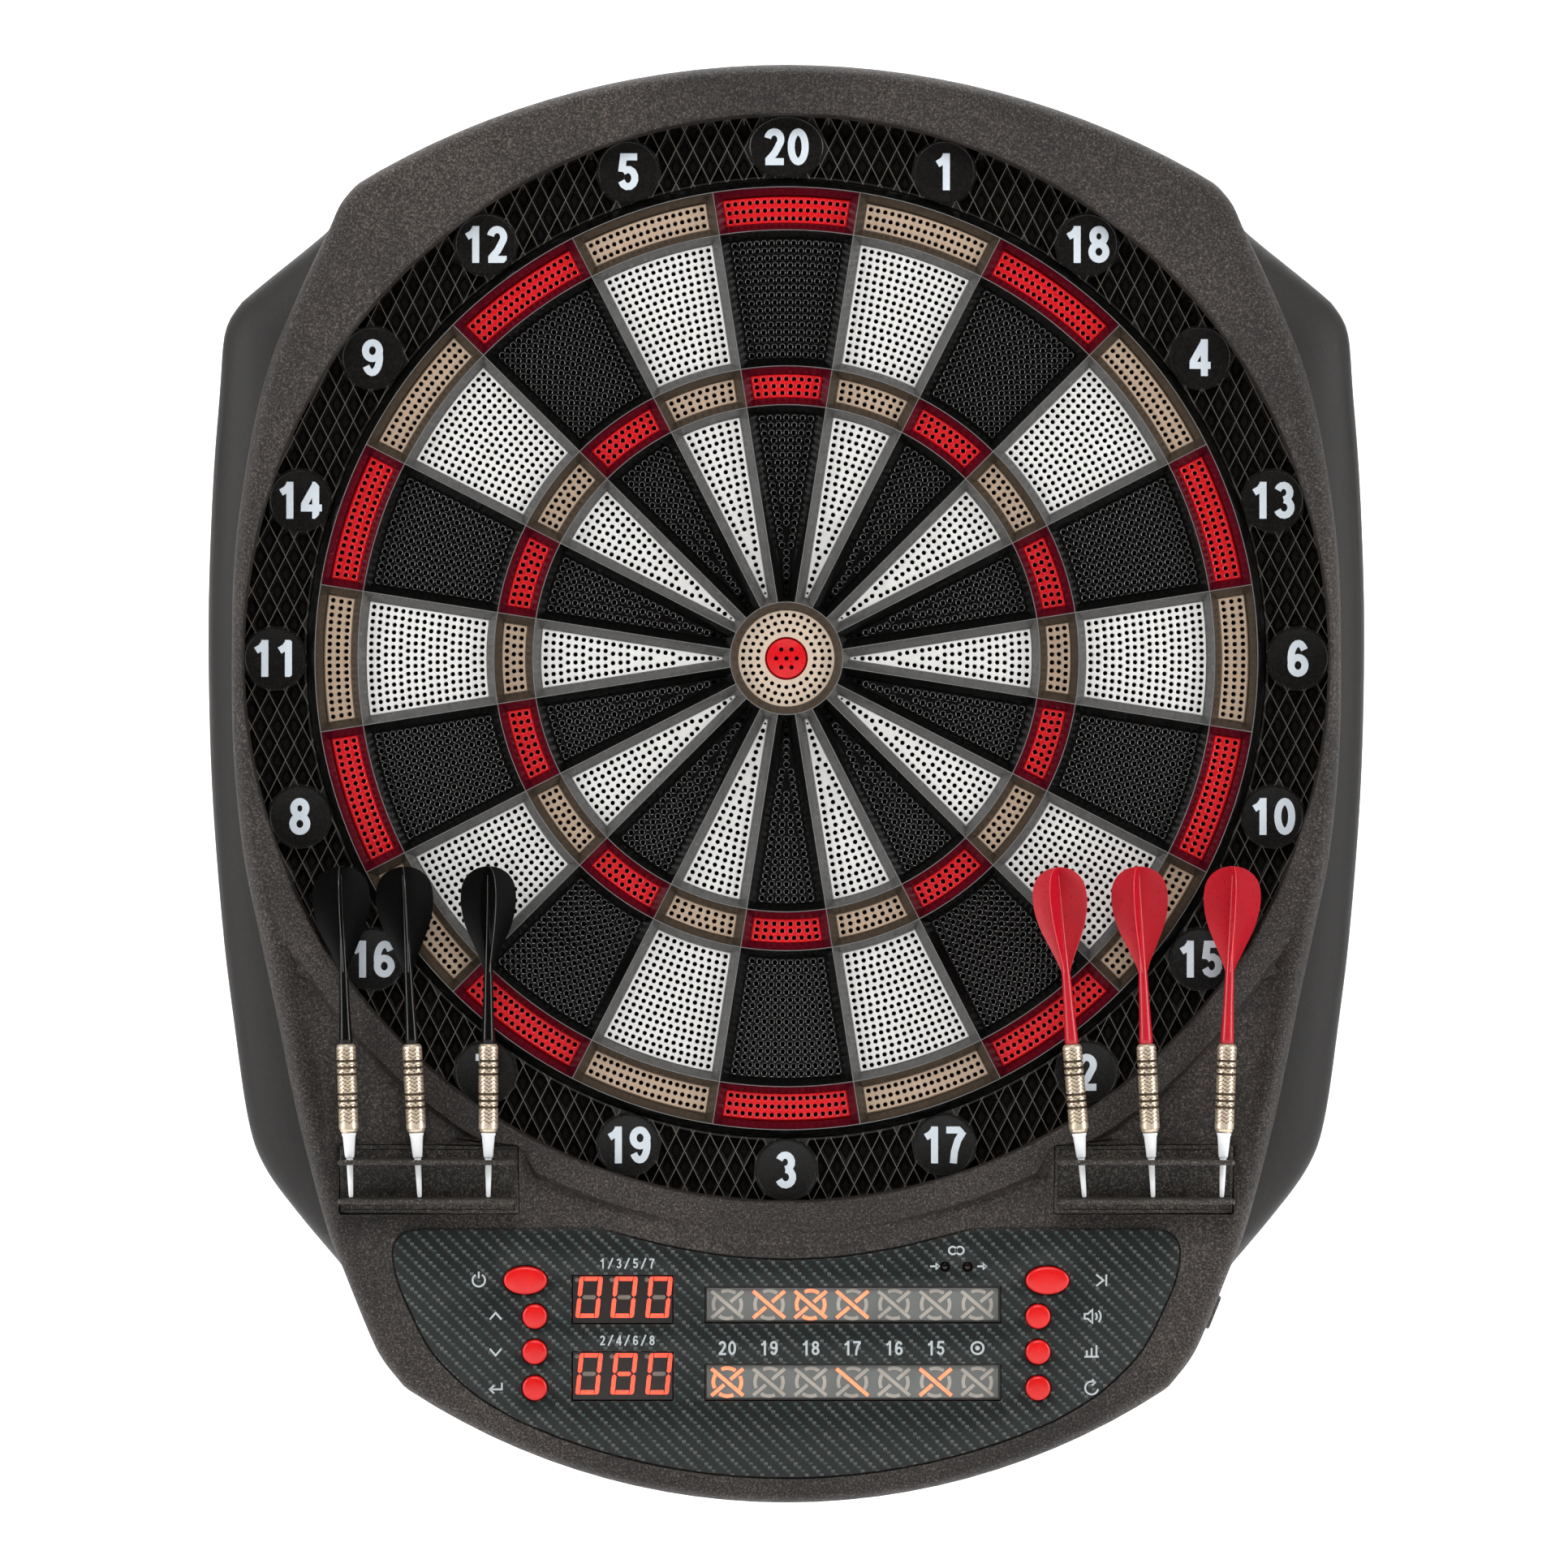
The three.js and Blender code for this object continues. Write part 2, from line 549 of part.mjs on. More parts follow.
function dartHolder(sign) {
  const [width, height, thick] = HOLDER_SIZE;
  const base = POCKET_FLOOR + GAP;
  let holder = block(width, height, base, base + thick);
  const reach = base + thick + SHELF_DEPTH;
  for (const y of SHELF_YS) holder = holder.add(block(width, SHELF_THICK, base, reach, 0, y));
  for (let i = -1; i <= 1; i++) {
    const x = sign * DART_SHIFT + i * DART_PITCH;
    SHELF_HOLES.forEach((half, shelf) => {
      const hole = block(2 * half, 2 * SHELF_THICK, DART_Z - half, DART_Z + half, x, SHELF_YS[shelf]);
      holder = holder.subtract(hole);
    });
  }
  return geometryOf(holder);
}

// A dart standing on its point, axis along Y: soft point, barrel, stem and four-vane flight.
function dart() {
  const point = [[0, 0], [0.95, 0.4], [1.4, 16.4], [1.95, 16.8], [3, 26.7]];
  const barrel = [[3, 29.4], [4.1, 30.2], [4.1, 64], [2.4, 64.6]];
  const shaft = [[1.9, 92], [1.2, 134], [0, 134]];
  const profile = [...point, ...barrel, ...shaft].map(([r, y]) => new THREE.Vector2(r, y));
  const stem = solid(new THREE.LatheGeometry(profile, DART_SIDES));
  const vane = [[1, 91], [7.5, 105], [11.2, 118], [12, 125], [11, 131.5], [7.4, 135.9], [0, 137.6]];
  const loop = [...vane.map(([x, y]) => new THREE.Vector2(x, y)),
    ...vane.slice(0, -1).reverse().map(([x, y]) => new THREE.Vector2(-x, y))];
  const fin = new THREE.ExtrudeGeometry(shapeOf(loop), { depth: VANE_THICK, bevelEnabled: false });
  fin.translate(0, 0, -VANE_THICK / 2);
  return geometryOf(join(stem, solid(fin), solid(fin.clone().rotateY(Math.PI / 2))));
}

// ---------------------------------------------------------------- fasteners

const screw = () => geometryOf(turned([[0, 1.2], [SCREW_HEAD, 1.2], [SCREW_HEAD, 2.6], [SCREW_SHANK, 3.8],
  [SCREW_SHANK, SCREW_END], [0, SCREW_END]], 8));

// ---------------------------------------------------------------- assembly

const board = new THREE.Group();
board.rotation.x = Math.PI / 2;

function material(color, roughness, metalness = 0, transparent = null) {
  const made = new THREE.MeshStandardMaterial({ color, roughness, metalness });
  if (transparent !== null) Object.assign(made, { transparent: true, opacity: transparent });
  return made;
}

const BLACK_PLASTIC = material(0x2b2927, 0.62);
const RING_BLACK = material(0x0d0c0b, 0.45);
const SMOKE = material(0x3a3a3a, 0.2, 0, 0.6);
const WHITE = material(0xe9e8e4, 0.5);
const DARK = material(0x100f0e, 0.5);
const RED = material(0xd8121a, 0.4);
const BEIGE = material(0xcfae8f, 0.5);
const RUBBER = material(0x1c1c1c, 0.9);
const NICKEL = material(0xc9bca5, 0.3, 1);

function add(name, geometry, look, parent = board) {
  const mesh = new THREE.Mesh(geometry, look);
  mesh.name = name;
  parent.add(mesh);
  return mesh;
}

add("rear_housing", rearHousing(), BLACK_PLASTIC);
add("front_bezel", frontBezel(), BLACK_PLASTIC);
add("catch_ring", catchRing(), RING_BLACK);
add("web", webGeometry(), SMOKE);
add("backing_plate", geometryOf(rod(210, ...BOARD, 2 * SECTORS)), material(0x6b4a2c, 0.8));
add("switch_matrix", geometryOf(rod(202, ...MATRIX, 2 * SECTORS)), material(0xc7c9b8, 0.4));
add("rubber_mat", geometryOf(rod(199, ...MAT, 2 * SECTORS)), RUBBER);

// The numbers run clockwise from the top.
const NUMBERS = [20, 1, 18, 4, 13, 6, 10, 15, 2, 17, 3, 19, 7, 16, 8, 11, 14, 9, 12, 5];
const pads = sectorPads();
NUMBERS.forEach((number, i) => {
  add("segments_" + number, pads, i % 2 ? WHITE : DARK).rotation.z = -i * 2 * HALF_SECTOR;
});
add("bull_outer", outerBull(), BEIGE);
add("bull_inner", innerBull(), RED);

add("fascia", fascia(), material(0x22282a, 0.35));
add("circuit_board", circuitBoard(), material(0x1d5a34, 0.5));
const display = ([width, height]) =>
  geometryOf(block(width - DISPLAY_FIT, height - DISPLAY_FIT, PCB[1] + GAP, DISPLAY_FACE));
["upper", "lower"].forEach((name, i) => {
  const score = add("score_display_" + name, display(SCORE_SIZE), material(0x120a0a, 0.2));
  score.position.set(SCORE_X, SCORE_YS[i], 0);
  const cricket = add("cricket_display_" + name, display(CRICKET_SIZE), material(0x77746f, 0.4));
  cricket.position.set(CRICKET_X, CRICKET_YS[i], 0);
});
const roundButton = button(false);
const ovalButton = button(true);
for (const [name, x, y, wide] of buttonPlaces()) {
  add("button_" + name, wide ? ovalButton : roundButton, RED).position.set(x, y, 0);
}
add("speaker", speaker(), RUBBER);
add("power_jack", powerJack(), BLACK_PLASTIC);

const dartBody = dart();
const DART_LOOKS = { left: material(0x15120f, 0.4), right: material(0xb8101d, 0.35) };
for (const [side, sign] of [["left", -1], ["right", 1]]) {
  add("dart_holder_" + side, dartHolder(sign), BLACK_PLASTIC).position.set(sign * HOLDER_X, HOLDER_Y, 0);
  for (let i = 0; i < 3; i++) {
    const parked = new THREE.Group();
    parked.position.set(sign * (HOLDER_X + DART_SHIFT) + (i - 1) * DART_PITCH, DART_FOOT, DART_Z);
    parked.rotation.z = -DART_LEANS[side][i] * DEG;
    board.add(parked);
    const dart = add("dart_" + side + "_" + (i + 1), dartBody, DART_LOOKS[side], parked);
    dart.rotation.y = DART_TURNS[side][i] * DEG;
  }
}

const screwBody = screw();
pairs(SCREW_SPOTS).forEach(([x, y], i) => add("screw_" + (i + 1), screwBody, NICKEL).position.set(x, y, 0));

const root = new THREE.Group();
root.add(board);

export default root;
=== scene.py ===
# Looks for a wall-hung electronic soft-tip dartboard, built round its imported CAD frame.
#
# Shapes are worked out in millimetres in board axes: x to the right, y up the board and level out
# from the wall, with the origin where the bullseye's axis meets the wall. at() turns them into the
# frame's metres.
import json
import math

import bpy
import numpy as np
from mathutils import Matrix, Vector
from mathutils.geometry import delaunay_2d_cdt


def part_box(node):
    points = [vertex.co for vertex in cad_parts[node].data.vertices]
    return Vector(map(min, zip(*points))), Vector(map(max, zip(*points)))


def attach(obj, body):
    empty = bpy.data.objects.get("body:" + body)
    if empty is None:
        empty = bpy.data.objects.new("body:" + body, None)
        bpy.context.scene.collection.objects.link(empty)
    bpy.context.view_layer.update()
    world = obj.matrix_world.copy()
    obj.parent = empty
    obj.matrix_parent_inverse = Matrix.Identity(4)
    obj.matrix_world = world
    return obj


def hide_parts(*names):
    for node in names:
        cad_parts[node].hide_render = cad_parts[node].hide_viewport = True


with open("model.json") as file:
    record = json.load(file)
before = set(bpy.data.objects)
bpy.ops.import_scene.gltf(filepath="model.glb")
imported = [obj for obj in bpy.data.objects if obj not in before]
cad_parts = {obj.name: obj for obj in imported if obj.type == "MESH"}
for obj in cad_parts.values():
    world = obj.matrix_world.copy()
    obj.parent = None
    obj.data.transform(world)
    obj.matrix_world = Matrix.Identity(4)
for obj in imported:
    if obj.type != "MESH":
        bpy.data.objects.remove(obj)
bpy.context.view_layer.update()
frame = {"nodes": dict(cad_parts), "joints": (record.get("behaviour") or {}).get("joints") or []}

MM = 0.001
DEG = math.pi / 180
TURN = 2 * math.pi


def at(x, y, level):
    return (x * MM, -level * MM, y * MM)


def node_box(name):
    """Lowest and highest corner of a CAD node in board axes, in mm."""
    low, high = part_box(name)
    return ((low[0] / MM, low[2] / MM, -high[1] / MM), (high[0] / MM, high[2] / MM, -low[1] / MM))


def middle(name):
    low, high = node_box(name)
    return [(a + b) / 2 for a, b in zip(low, high)]


# ---------------------------------------------------------------- sizes

# Target: the radii are the crests of the web between the scoring rings.
NUMBERS = [20, 1, 18, 4, 13, 6, 10, 15, 2, 17, 3, 19, 7, 16, 8, 11, 14, 9, 12, 5]
SECTOR = TURN / 20
BULL_INNER = 8.4
BULL_OUTER = 23.5
TRIPLE = (105.9, 122.1)
DOUBLE = (178.9, 196.85)
WEB_BAR = (3.45, 3.05)  # half width in plan of a radial and of a ring bar
WEB_CREST = 0.16
WEB_RIM = 200.3
PAD_GAP = 0.25
HOLE = 1.0
HOLE_MOUTH = 1.42
# a hole's profile from its mouth to its shaft: share of the way in, and depth
HOLE_FUNNEL = ((0.0, 0.0), (0.5, 0.09), (1.0, 0.25))
HOLE_DEPTH = 4.5
HOLE_PITCH = 2.95
HOLE_MARGIN = 1.85
HOLE_SIDES = 10

# Levels out from the wall, from the frame.
WEB_FOOT = node_box("web")[0][2]
WEB_TOP = node_box("web")[1][2]
WEB_EDGE = WEB_TOP - 3.6  # where the bars' slopes end and their upright walls begin
PAD_FOOT = node_box("segments_20")[0][2]
PAD_FACE = node_box("segments_20")[1][2]
PAD_FLANGE = 2.5
PAD_BEVEL = 0.15
PAD_SKIRT = 3.1  # how far a pad's foot spreads under the web
CATCH_BACK = node_box("catch_ring")[0][2]
DISC_TOP = node_box("catch_ring")[1][2]
CATCH_TOP = DISC_TOP - 2.2
BEZEL_BACK = node_box("front_bezel")[0][2]
FRONT = node_box("front_bezel")[1][2]
DECK = node_box("rear_housing")[1][2]
FASCIA_BACK = node_box("fascia")[0][2]
FASCIA_FRONT = node_box("fascia")[1][2]
RECESS = node_box("dart_holder_left")[0][2] - 0.3

OPENING = 226.5
DISC_RADIUS = 13
DISC_CENTRE = 213.8
WIDE_DISC = 16.1  # half width of the oval disc at the top
BACK_SKIN = 2.5


# ---------------------------------------------------------------- flat outlines

def circle(radius, steps, x=0, y=0):
    angles = [TURN * i / steps for i in range(steps)]
    return [(x + radius * math.cos(a), y + radius * math.sin(a)) for a in angles]


def oval(half_x, half_y, steps, x=0, y=0):
    return [(x + half_x * px, y + half_y * py) for px, py in circle(1, steps)]


def arc(x, y, radius_x, radius_y, start, end, steps=10):
    """Points of an elliptical arc; the angles are in degrees."""
    angles = [(start + (end - start) * i / steps) * DEG for i in range(steps + 1)]
    return [(x + radius_x * math.cos(a), y + radius_y * math.sin(a)) for a in angles]


def rectangle(width, height, x=0, y=0, corner=0, steps=4):
    """A counter-clockwise rectangle, with rounded corners if asked."""
    if not corner:
        return [(x + a * width / 2, y + b * height / 2) for a, b in ((-1, -1), (1, -1), (1, 1), (-1, 1))]
    loop = []
    for quarter, (a, b) in enumerate(((1, 1), (-1, 1), (-1, -1), (1, -1))):
        for i in range(steps + 1):
            angle = (quarter + i / steps) * math.pi / 2
            loop.append((x + a * (width / 2 - corner) + corner * math.cos(angle),
                         y + b * (height / 2 - corner) + corner * math.sin(angle)))
    return loop


def spline(knots, steps):
    """A smooth curve through the knots, with `steps` points for each span."""
    k = [np.array(p, float) for p in knots]
    k = [2 * k[0] - k[1]] + k + [2 * k[-1] - k[-2]]
    points = []
    for a, b, c, d in zip(k, k[1:], k[2:], k[3:]):
        for i in range(steps):
            t = i / steps
            points.append(tuple(0.5 * (2 * b + (c - a) * t + (2 * a - 5 * b + 4 * c - d) * t * t
                                       + (3 * b - a - 3 * c + d) * t ** 3)))
    return points + [tuple(k[-2])]


def bow(radius, centre_y, from_x, to_x, steps, side):
    """Points of an arc about (0, centre_y), side 1 above the centre or -1 below it."""
    start, end = math.asin(from_x / radius), math.asin(to_x / radius)
    angles = [start + (end - start) * i / steps for i in range(steps + 1)]
    return [(radius * math.sin(a), centre_y + side * radius * math.cos(a)) for a in angles]


def mirrored(right):
    """A closed loop from points that run up its right side."""
    return right + [(-x, y) for x, y in reversed(right) if abs(x) > 1e-6]


def evened(loop, spacing):
    """The same closed loop with points at an even spacing."""
    points = np.array(loop + [loop[0]], float)
    along = np.concatenate([[0], np.cumsum(np.hypot(*np.diff(points, axis=0).T))])
    count = max(8, round(along[-1] / spacing))
    places = np.arange(count) * along[-1] / count
    return list(zip(np.interp(places, along, points[:, 0]), np.interp(places, along, points[:, 1])))


def inset(loop, distance):
    """A counter-clockwise loop moved inwards, with mitred corners."""
    p = np.array(loop, float)

    def inward(a, b):
        step = b - a
        normal = np.stack([-step[:, 1], step[:, 0]], 1)
        return normal / np.maximum(np.hypot(normal[:, 0], normal[:, 1]), 1e-9)[:, None]

    before = inward(np.roll(p, 1, 0), p)
    after = inward(p, np.roll(p, -1, 0))
    mitre = distance / np.maximum(0.35, 1 + (before * after).sum(1))
    return [tuple(q) for q in p + (before + after) * mitre[:, None]]


def inside(points, loop):
    """Which of the points lie inside the loop."""
    points, loop = np.array(points, float), np.array(loop, float)
    x, y = points[:, 0], points[:, 1]
    result = np.zeros(len(points), bool)
    for (ax, ay), (bx, by) in zip(loop, np.roll(loop, -1, 0)):
        if ay == by:
            continue
        crosses = (ay > y) != (by > y)
        result ^= crosses & (x < ax + (y - ay) * (bx - ax) / (by - ay))
    return result


def distance_to(points, loop):
    """Each point's distance to the nearest edge of a closed loop."""
    points, start = np.array(points, float), np.array(loop, float)
    span = np.roll(start, -1, 0) - start
    length = (span ** 2).sum(1)
    best = np.full(len(points), np.inf)
    for a, s, l in zip(start, span, length):
        t = np.clip(((points - a) @ s) / l, 0, 1)
        best = np.minimum(best, ((points - a - t[:, None] * s) ** 2).sum(1))
    return np.sqrt(best)


def ease(value):
    """Smooth step from 0 to 1."""
    value = np.clip(value, 0, 1)
    return value * value * (3 - 2 * value)


def bezel_outline():
    chin = bow(288, -352.3 + 288, 0, 146, 12, -1)
    side = spline([
        (159, -304.5), (168.5, -292.5), (174.5, -280.5), (185, -254.5), (192, -236.5), (203.5, -193),
        (212, -152), (220, -114), (226.5, -82), (230.6, -40), (231.3, 5), (230, 45), (224, 88),
        (216.5, 120), (207.5, 143), (197.5, 165), (190.5, 179.5), (186, 189.5), (179.5, 197.5)], 5)
    crown = bow(348, 247.6 - 348, 170.5, 0, 14, 1)
    return mirrored(chin + side + crown)


def wing_outline():
    """Right-hand side only: where the rear housing stands out past the bezel."""
    return spline([
        (178, -264), (187, -255.5), (205, -234.6), (220, -214), (227, -194), (233, -153), (238, -111),
        (242.5, -50), (243.8, 15), (242, 72), (239, 113), (237, 137), (232, 147.7), (225, 154.8),
        (200, 175), (180, 191)], 6)


def fascia_outline():
    bottom = bow(274, -341 + 274, 0, 96, 10, -1)
    side = spline([(111.5, -317.2), (127.5, -307.6), (139.8, -297), (148.8, -286.4), (156, -272.4),
                   (161.2, -260.1), (163.4, -249.6), (162.6, -243.6), (158.6, -239.3), (152, -237.8)], 4)
    top = spline([(79, -237.8), (66, -241), (46, -245.8), (22, -249.6), (0, -250.8)], 6)
    return mirrored(bottom + side + top)


# ---------------------------------------------------------------- solids from outlines

class Solid:
    """Points and faces of one piece, gathered part by part. `look` is a face's material index."""

    def __init__(self):
        self.points, self.faces, self.looks = [], [], []

    def add(self, form, look=0):
        points, faces = form
        first = len(self.points)
        self.points.extend(tuple(p) for p in points)
        self.faces.extend(tuple(first + i for i in face) for face in faces)
        self.looks.extend([look] * len(faces))
        return self


def fill(loops):
    """Triangles between the first loop and the others, which are holes in it.

    Indices run through the loops. No two points may be the same, and no two edges may cross.
    """
    points = [Vector(p[:2]) for loop in loops for p in loop]
    edges, owner, first = [], [], 0
    for number, loop in enumerate(loops):
        count = len(loop)
        edges += [(first + i, first + (i + 1) % count) for i in range(count)]
        owner += [number] * count
        first += count
    triangles = delaunay_2d_cdt(points, edges, [], 1, 1e-5)[2]
    kept, doubtful = [], {}
    for triangle in triangles:
        a, b, c = (owner[i] for i in triangle)
        if a == b == c:
            doubtful.setdefault(a, []).append(tuple(triangle))
        else:
            kept.append(tuple(triangle))
    for number, group in doubtful.items():
        centres = [tuple(sum((points[i] for i in t), Vector((0, 0))) / 3) for t in group]
        within = inside(centres, loops[number])
        kept += [t for t, is_in in zip(group, within) if is_in == (number == 0)]
    return kept


def walls(count, rows, first=0, inward=False):
    """Faces between successive rows of a closed loop of `count` points."""
    faces = []
    for row in range(rows - 1):
        for i in range(count):
            a, b = first + row * count + i, first + row * count + (i + 1) % count
            face = (a, b, b + count, a + count)
            faces.append(face[::-1] if inward else face)
    return faces


def stack(rows, low_cap=True, high_cap=True):
    """A form through counter-clockwise loops of equal length, lowest first. Each row is (loop, level)."""
    count = len(rows[0][0])
    points = [(x, y, level) for loop, level in rows for x, y in loop]
    faces = walls(count, len(rows))
    last = (len(rows) - 1) * count
    if low_cap:
        faces += flipped(fill([rows[0][0]]))
    if high_cap:
        faces += [tuple(last + i for i in t) for t in fill([rows[-1][0]])]
    return points, faces


def sheet(outer, holes, profile):
    """A sheet with through holes. The profile lists (inset, level) from back to front, for every edge."""
    loops = [outer] + holes
    points, faces = [], []
    for number, loop in enumerate(loops):
        first = len(points)
        for distance, level in profile:
            points += [(x, y, level) for x, y in inset(loop, -distance if number else distance)]
        faces += walls(len(loop), len(profile), first, inward=number > 0)
    for row, flip in ((0, True), (len(profile) - 1, False)):
        index = []
        first = 0
        for loop in loops:
            index += [first + row * len(loop) + i for i in range(len(loop))]
            first += len(loop) * len(profile)
        distance = profile[row][0]
        flat = [inset(loop, -distance if number else distance) for number, loop in enumerate(loops)]
        faces += [tuple(index[i] for i in (t[::-1] if flip else t)) for t in fill(flat)]
    return points, faces


def lathe(profile, sides, x=0, y=0):
    """A turned form. The profile lists (radius, level); a point on the axis is one vertex."""
    points, rows = [], []
    for radius, level in profile:
        if radius < 1e-6:
            rows.append([len(points)] * sides)
            points.append((x, y, level))
        else:
            rows.append(list(range(len(points), len(points) + sides)))
            points += [(px, py, level) for px, py in circle(radius, sides, x, y)]
    faces = []
    for low, high in zip(rows, rows[1:]):
        for i in range(sides):
            ring = (low[i], low[(i + 1) % sides], high[(i + 1) % sides], high[i])
            face = tuple(dict.fromkeys(ring))
            if len(face) > 2:
                faces.append(face)
    return points, faces


def turned(points, angle):
    """Points turned about the board's axis."""
    c, s = math.cos(angle), math.sin(angle)
    return [(x * c - y * s, x * s + y * c, level) for x, y, level in points]


def raised(loops, level):
    """The points of all the loops, at one level."""
    return [(x, y, level) for loop in loops for x, y in loop]


def wall(loop, low, high, inward=False):
    """An upright wall round a loop."""
    return raised([loop], low) + raised([loop], high), walls(len(loop), 2, inward=inward)


def flipped(faces):
    return [tuple(face)[::-1] for face in faces]


# ---------------------------------------------------------------- materials

def new_material(name, **settings):
    """A node material and its tree; settings are inputs of its Principled shader."""
    made = bpy.data.materials.new(name)
    made.use_nodes = True
    tree = made.node_tree
    shader = tree.nodes["Principled BSDF"]
    for key, value in settings.items():
        shader.inputs[key.replace("_", " ")].default_value = value
    return made, tree, shader


def node(tree, kind, inputs=(), **settings):
    """Adds a node. Inputs are (name or index, value or output socket)."""
    made = tree.nodes.new(kind)
    for key, value in settings.items():
        setattr(made, key, value)
    for key, value in inputs:
        if isinstance(value, bpy.types.NodeSocket):
            tree.links.new(value, made.inputs[key])
        else:
            made.inputs[key].default_value = value
    return made


def coordinates(tree):
    """The point being shaded, in mm of the frame."""
    place = node(tree, "ShaderNodeTexCoord").outputs["Object"]
    return node(tree, "ShaderNodeVectorMath", [(0, place), ("Scale", 1 / MM)], operation="SCALE").outputs[0]


def noise(tree, place, per_mm, detail=2, roughness=0.5):
    made = node(tree, "ShaderNodeTexNoise", [("Vector", place), ("Scale", per_mm), ("Detail", detail),
                                             ("Roughness", roughness)])
    return made.outputs["Fac"]


def ramp(tree, value, stops):
    """A colour ramp; stops are (position, colour)."""
    made = node(tree, "ShaderNodeValToRGB", [("Fac", value)])
    elements = made.color_ramp.elements
    while len(elements) < len(stops):
        elements.new(0.5)
    for element, (position, colour) in zip(elements, stops):
        element.position = position
        element.color = (*colour, 1) if len(colour) == 3 else colour
    return made.outputs["Color"]


def math_node(tree, operation, a, b=0.0, c=0.0):
    return node(tree, "ShaderNodeMath", [(0, a), (1, b), (2, c)], operation=operation).outputs[0]


def shades(colour, *factors):
    """The colour made darker or lighter by each factor."""
    return [tuple(v * factor for v in colour) for factor in factors]


def tint_by(tree, shader, value, colour, low, high, top=0.7):
    """Makes the base colour go from a darker to a lighter shade as the value rises."""
    dark, pale = shades(colour, low, high)
    tint = ramp(tree, value, [(0.3, dark), (top, pale)])
    tree.links.new(tint, shader.inputs["Base Color"])
    return tint


def bump(tree, shader, height, strength, distance_mm):
    made = node(tree, "ShaderNodeBump", [("Height", height), ("Strength", strength),
                                         ("Distance", distance_mm * MM)])
    tree.links.new(made.outputs["Normal"], shader.inputs["Normal"])


def vary_roughness(tree, shader, value, low, high):
    spread = node(tree, "ShaderNodeMapRange", [("Value", value), ("To Min", low), ("To Max", high)])
    tree.links.new(spread.outputs["Result"], shader.inputs["Roughness"])


def textured_plastic(name, colour, grain=1.1, contrast=0.5, rough=0.5, relief=0.5):
    """Moulded plastic with a leathery spark-eroded grain and faint worn patches; its colour follows the
    grain's height, partly its own mottle and partly painted light: darker hollows, lighter high spots and
    pale flecks as painted glints on the highest.
    """
    made, tree, shader = new_material(name, Specular_IOR_Level=0.32)
    place = coordinates(tree)
    coarse = noise(tree, place, grain * 0.9, 3, 0.6)
    fine = noise(tree, place, grain * 2.2, 3, 0.7)
    cells = math_node(tree, "MULTIPLY_ADD", coarse, 0.5, math_node(tree, "MULTIPLY", fine, 0.5))
    broad = math_node(tree, "SUBTRACT", noise(tree, place, 0.012, 2), 0.5)
    both = math_node(tree, "MULTIPLY_ADD", broad, 0.12, cells)
    # painted shade and light: darker for the grain's low spots, paler for its high ones, and far paler
    # flecks on the highest as painted glints
    dark, pale = shades(colour, 1 - contrast, 1 + 2.6 * contrast)
    glint_fleck = shades(colour, 1 + 9.0 * contrast)[0]
    tree.links.new(ramp(tree, both, [(0.41, dark), (0.5, colour), (0.555, pale), (0.63, glint_fleck)]),
                   shader.inputs["Base Color"])
    vary_roughness(tree, shader, fine, rough - 0.12, rough + 0.16)
    bump(tree, shader, cells, relief, 0.5)
    return made


def gloss_plastic(name, colour, rough=0.18, mottling=0.12, waviness=0.12, specular=0.5):
    """Polished moulded plastic: slight flow marks, a faint ripple and dust-dulled patches."""
    made, tree, shader = new_material(name, Roughness=rough, Specular_IOR_Level=specular)
    place = coordinates(tree)
    flow = noise(tree, place, 0.09, 3)
    tint_by(tree, shader, flow, colour, 1 - mottling, 1 + mottling)
    vary_roughness(tree, shader, noise(tree, place, 0.9, 2), rough * 0.7, rough * 1.5)
    bump(tree, shader, flow, waviness, 0.3)
    return made


def pad_plastic(name, colour, rough=0.4, glow=0.0):
    """A scoring pad: even colour with faint moulding streaks; glow, if given, is a painted emission for the
    little light passing through it.
    """
    made, tree, shader = new_material(name, Roughness=rough, Specular_IOR_Level=0.4)
    place = coordinates(tree)
    tint = tint_by(tree, shader, noise(tree, place, 0.16, 4, 0.6), colour, 0.93, 1.05)
    # painted light: an emission glow in the pad's own colour
    if glow:
        tree.links.new(tint, shader.inputs["Emission Color"])
        shader.inputs["Emission Strength"].default_value = glow
    vary_roughness(tree, shader, noise(tree, place, 0.7), rough - 0.1, rough + 0.15)
    bump(tree, shader, noise(tree, place, 1.1, 2), 0.12, 0.1)
    return made


def hole_dark():
    """The dark bottom of a dart hole, where only the rubber mat shows."""
    made, tree, shader = new_material("hole_dark", Roughness=0.9, Specular_IOR_Level=0.1)
    place = coordinates(tree)
    stops = [(0.3, (0.004, 0.003, 0.003)), (0.7, (0.012, 0.011, 0.01))]
    tree.links.new(ramp(tree, noise(tree, place, 2.0), stops), shader.inputs["Base Color"])
    return made


SMOKE_COVER = 0.72  # the share of the web's surface shown in its painted colour; the rest is clear
SMOKE_TINT = (0.62, 0.6, 0.58)  # of the light that passes


def smoked(name, painted_pad_light):
    """Smoke-tinted clear plastic whose colour is painted light: the glow of the pad beside it, seen through
    the plastic, with a share let through clear.
    """
    made, tree, shader = new_material(name, Roughness=0.2, Specular_IOR_Level=0.5)
    place = coordinates(tree)
    tint_by(tree, shader, noise(tree, place, 0.35, 3), painted_pad_light, 0.75, 1.1)
    bump(tree, shader, noise(tree, place, 0.25, 2), 0.15, 0.25)
    clear = node(tree, "ShaderNodeBsdfTransparent", [("Color", (*SMOKE_TINT, 1))])
    mix = node(tree, "ShaderNodeMixShader", [("Fac", SMOKE_COVER), (1, clear.outputs[0]),
                                             (2, shader.outputs[0])])
    tree.links.new(mix.outputs[0], tree.nodes["Material Output"].inputs["Surface"])
    return made


LATTICE = (7.1, 14.2)  # width and height of a diamond of the catch ring's lattice
LATTICE_RIDGE = 0.15   # half width of a ridge


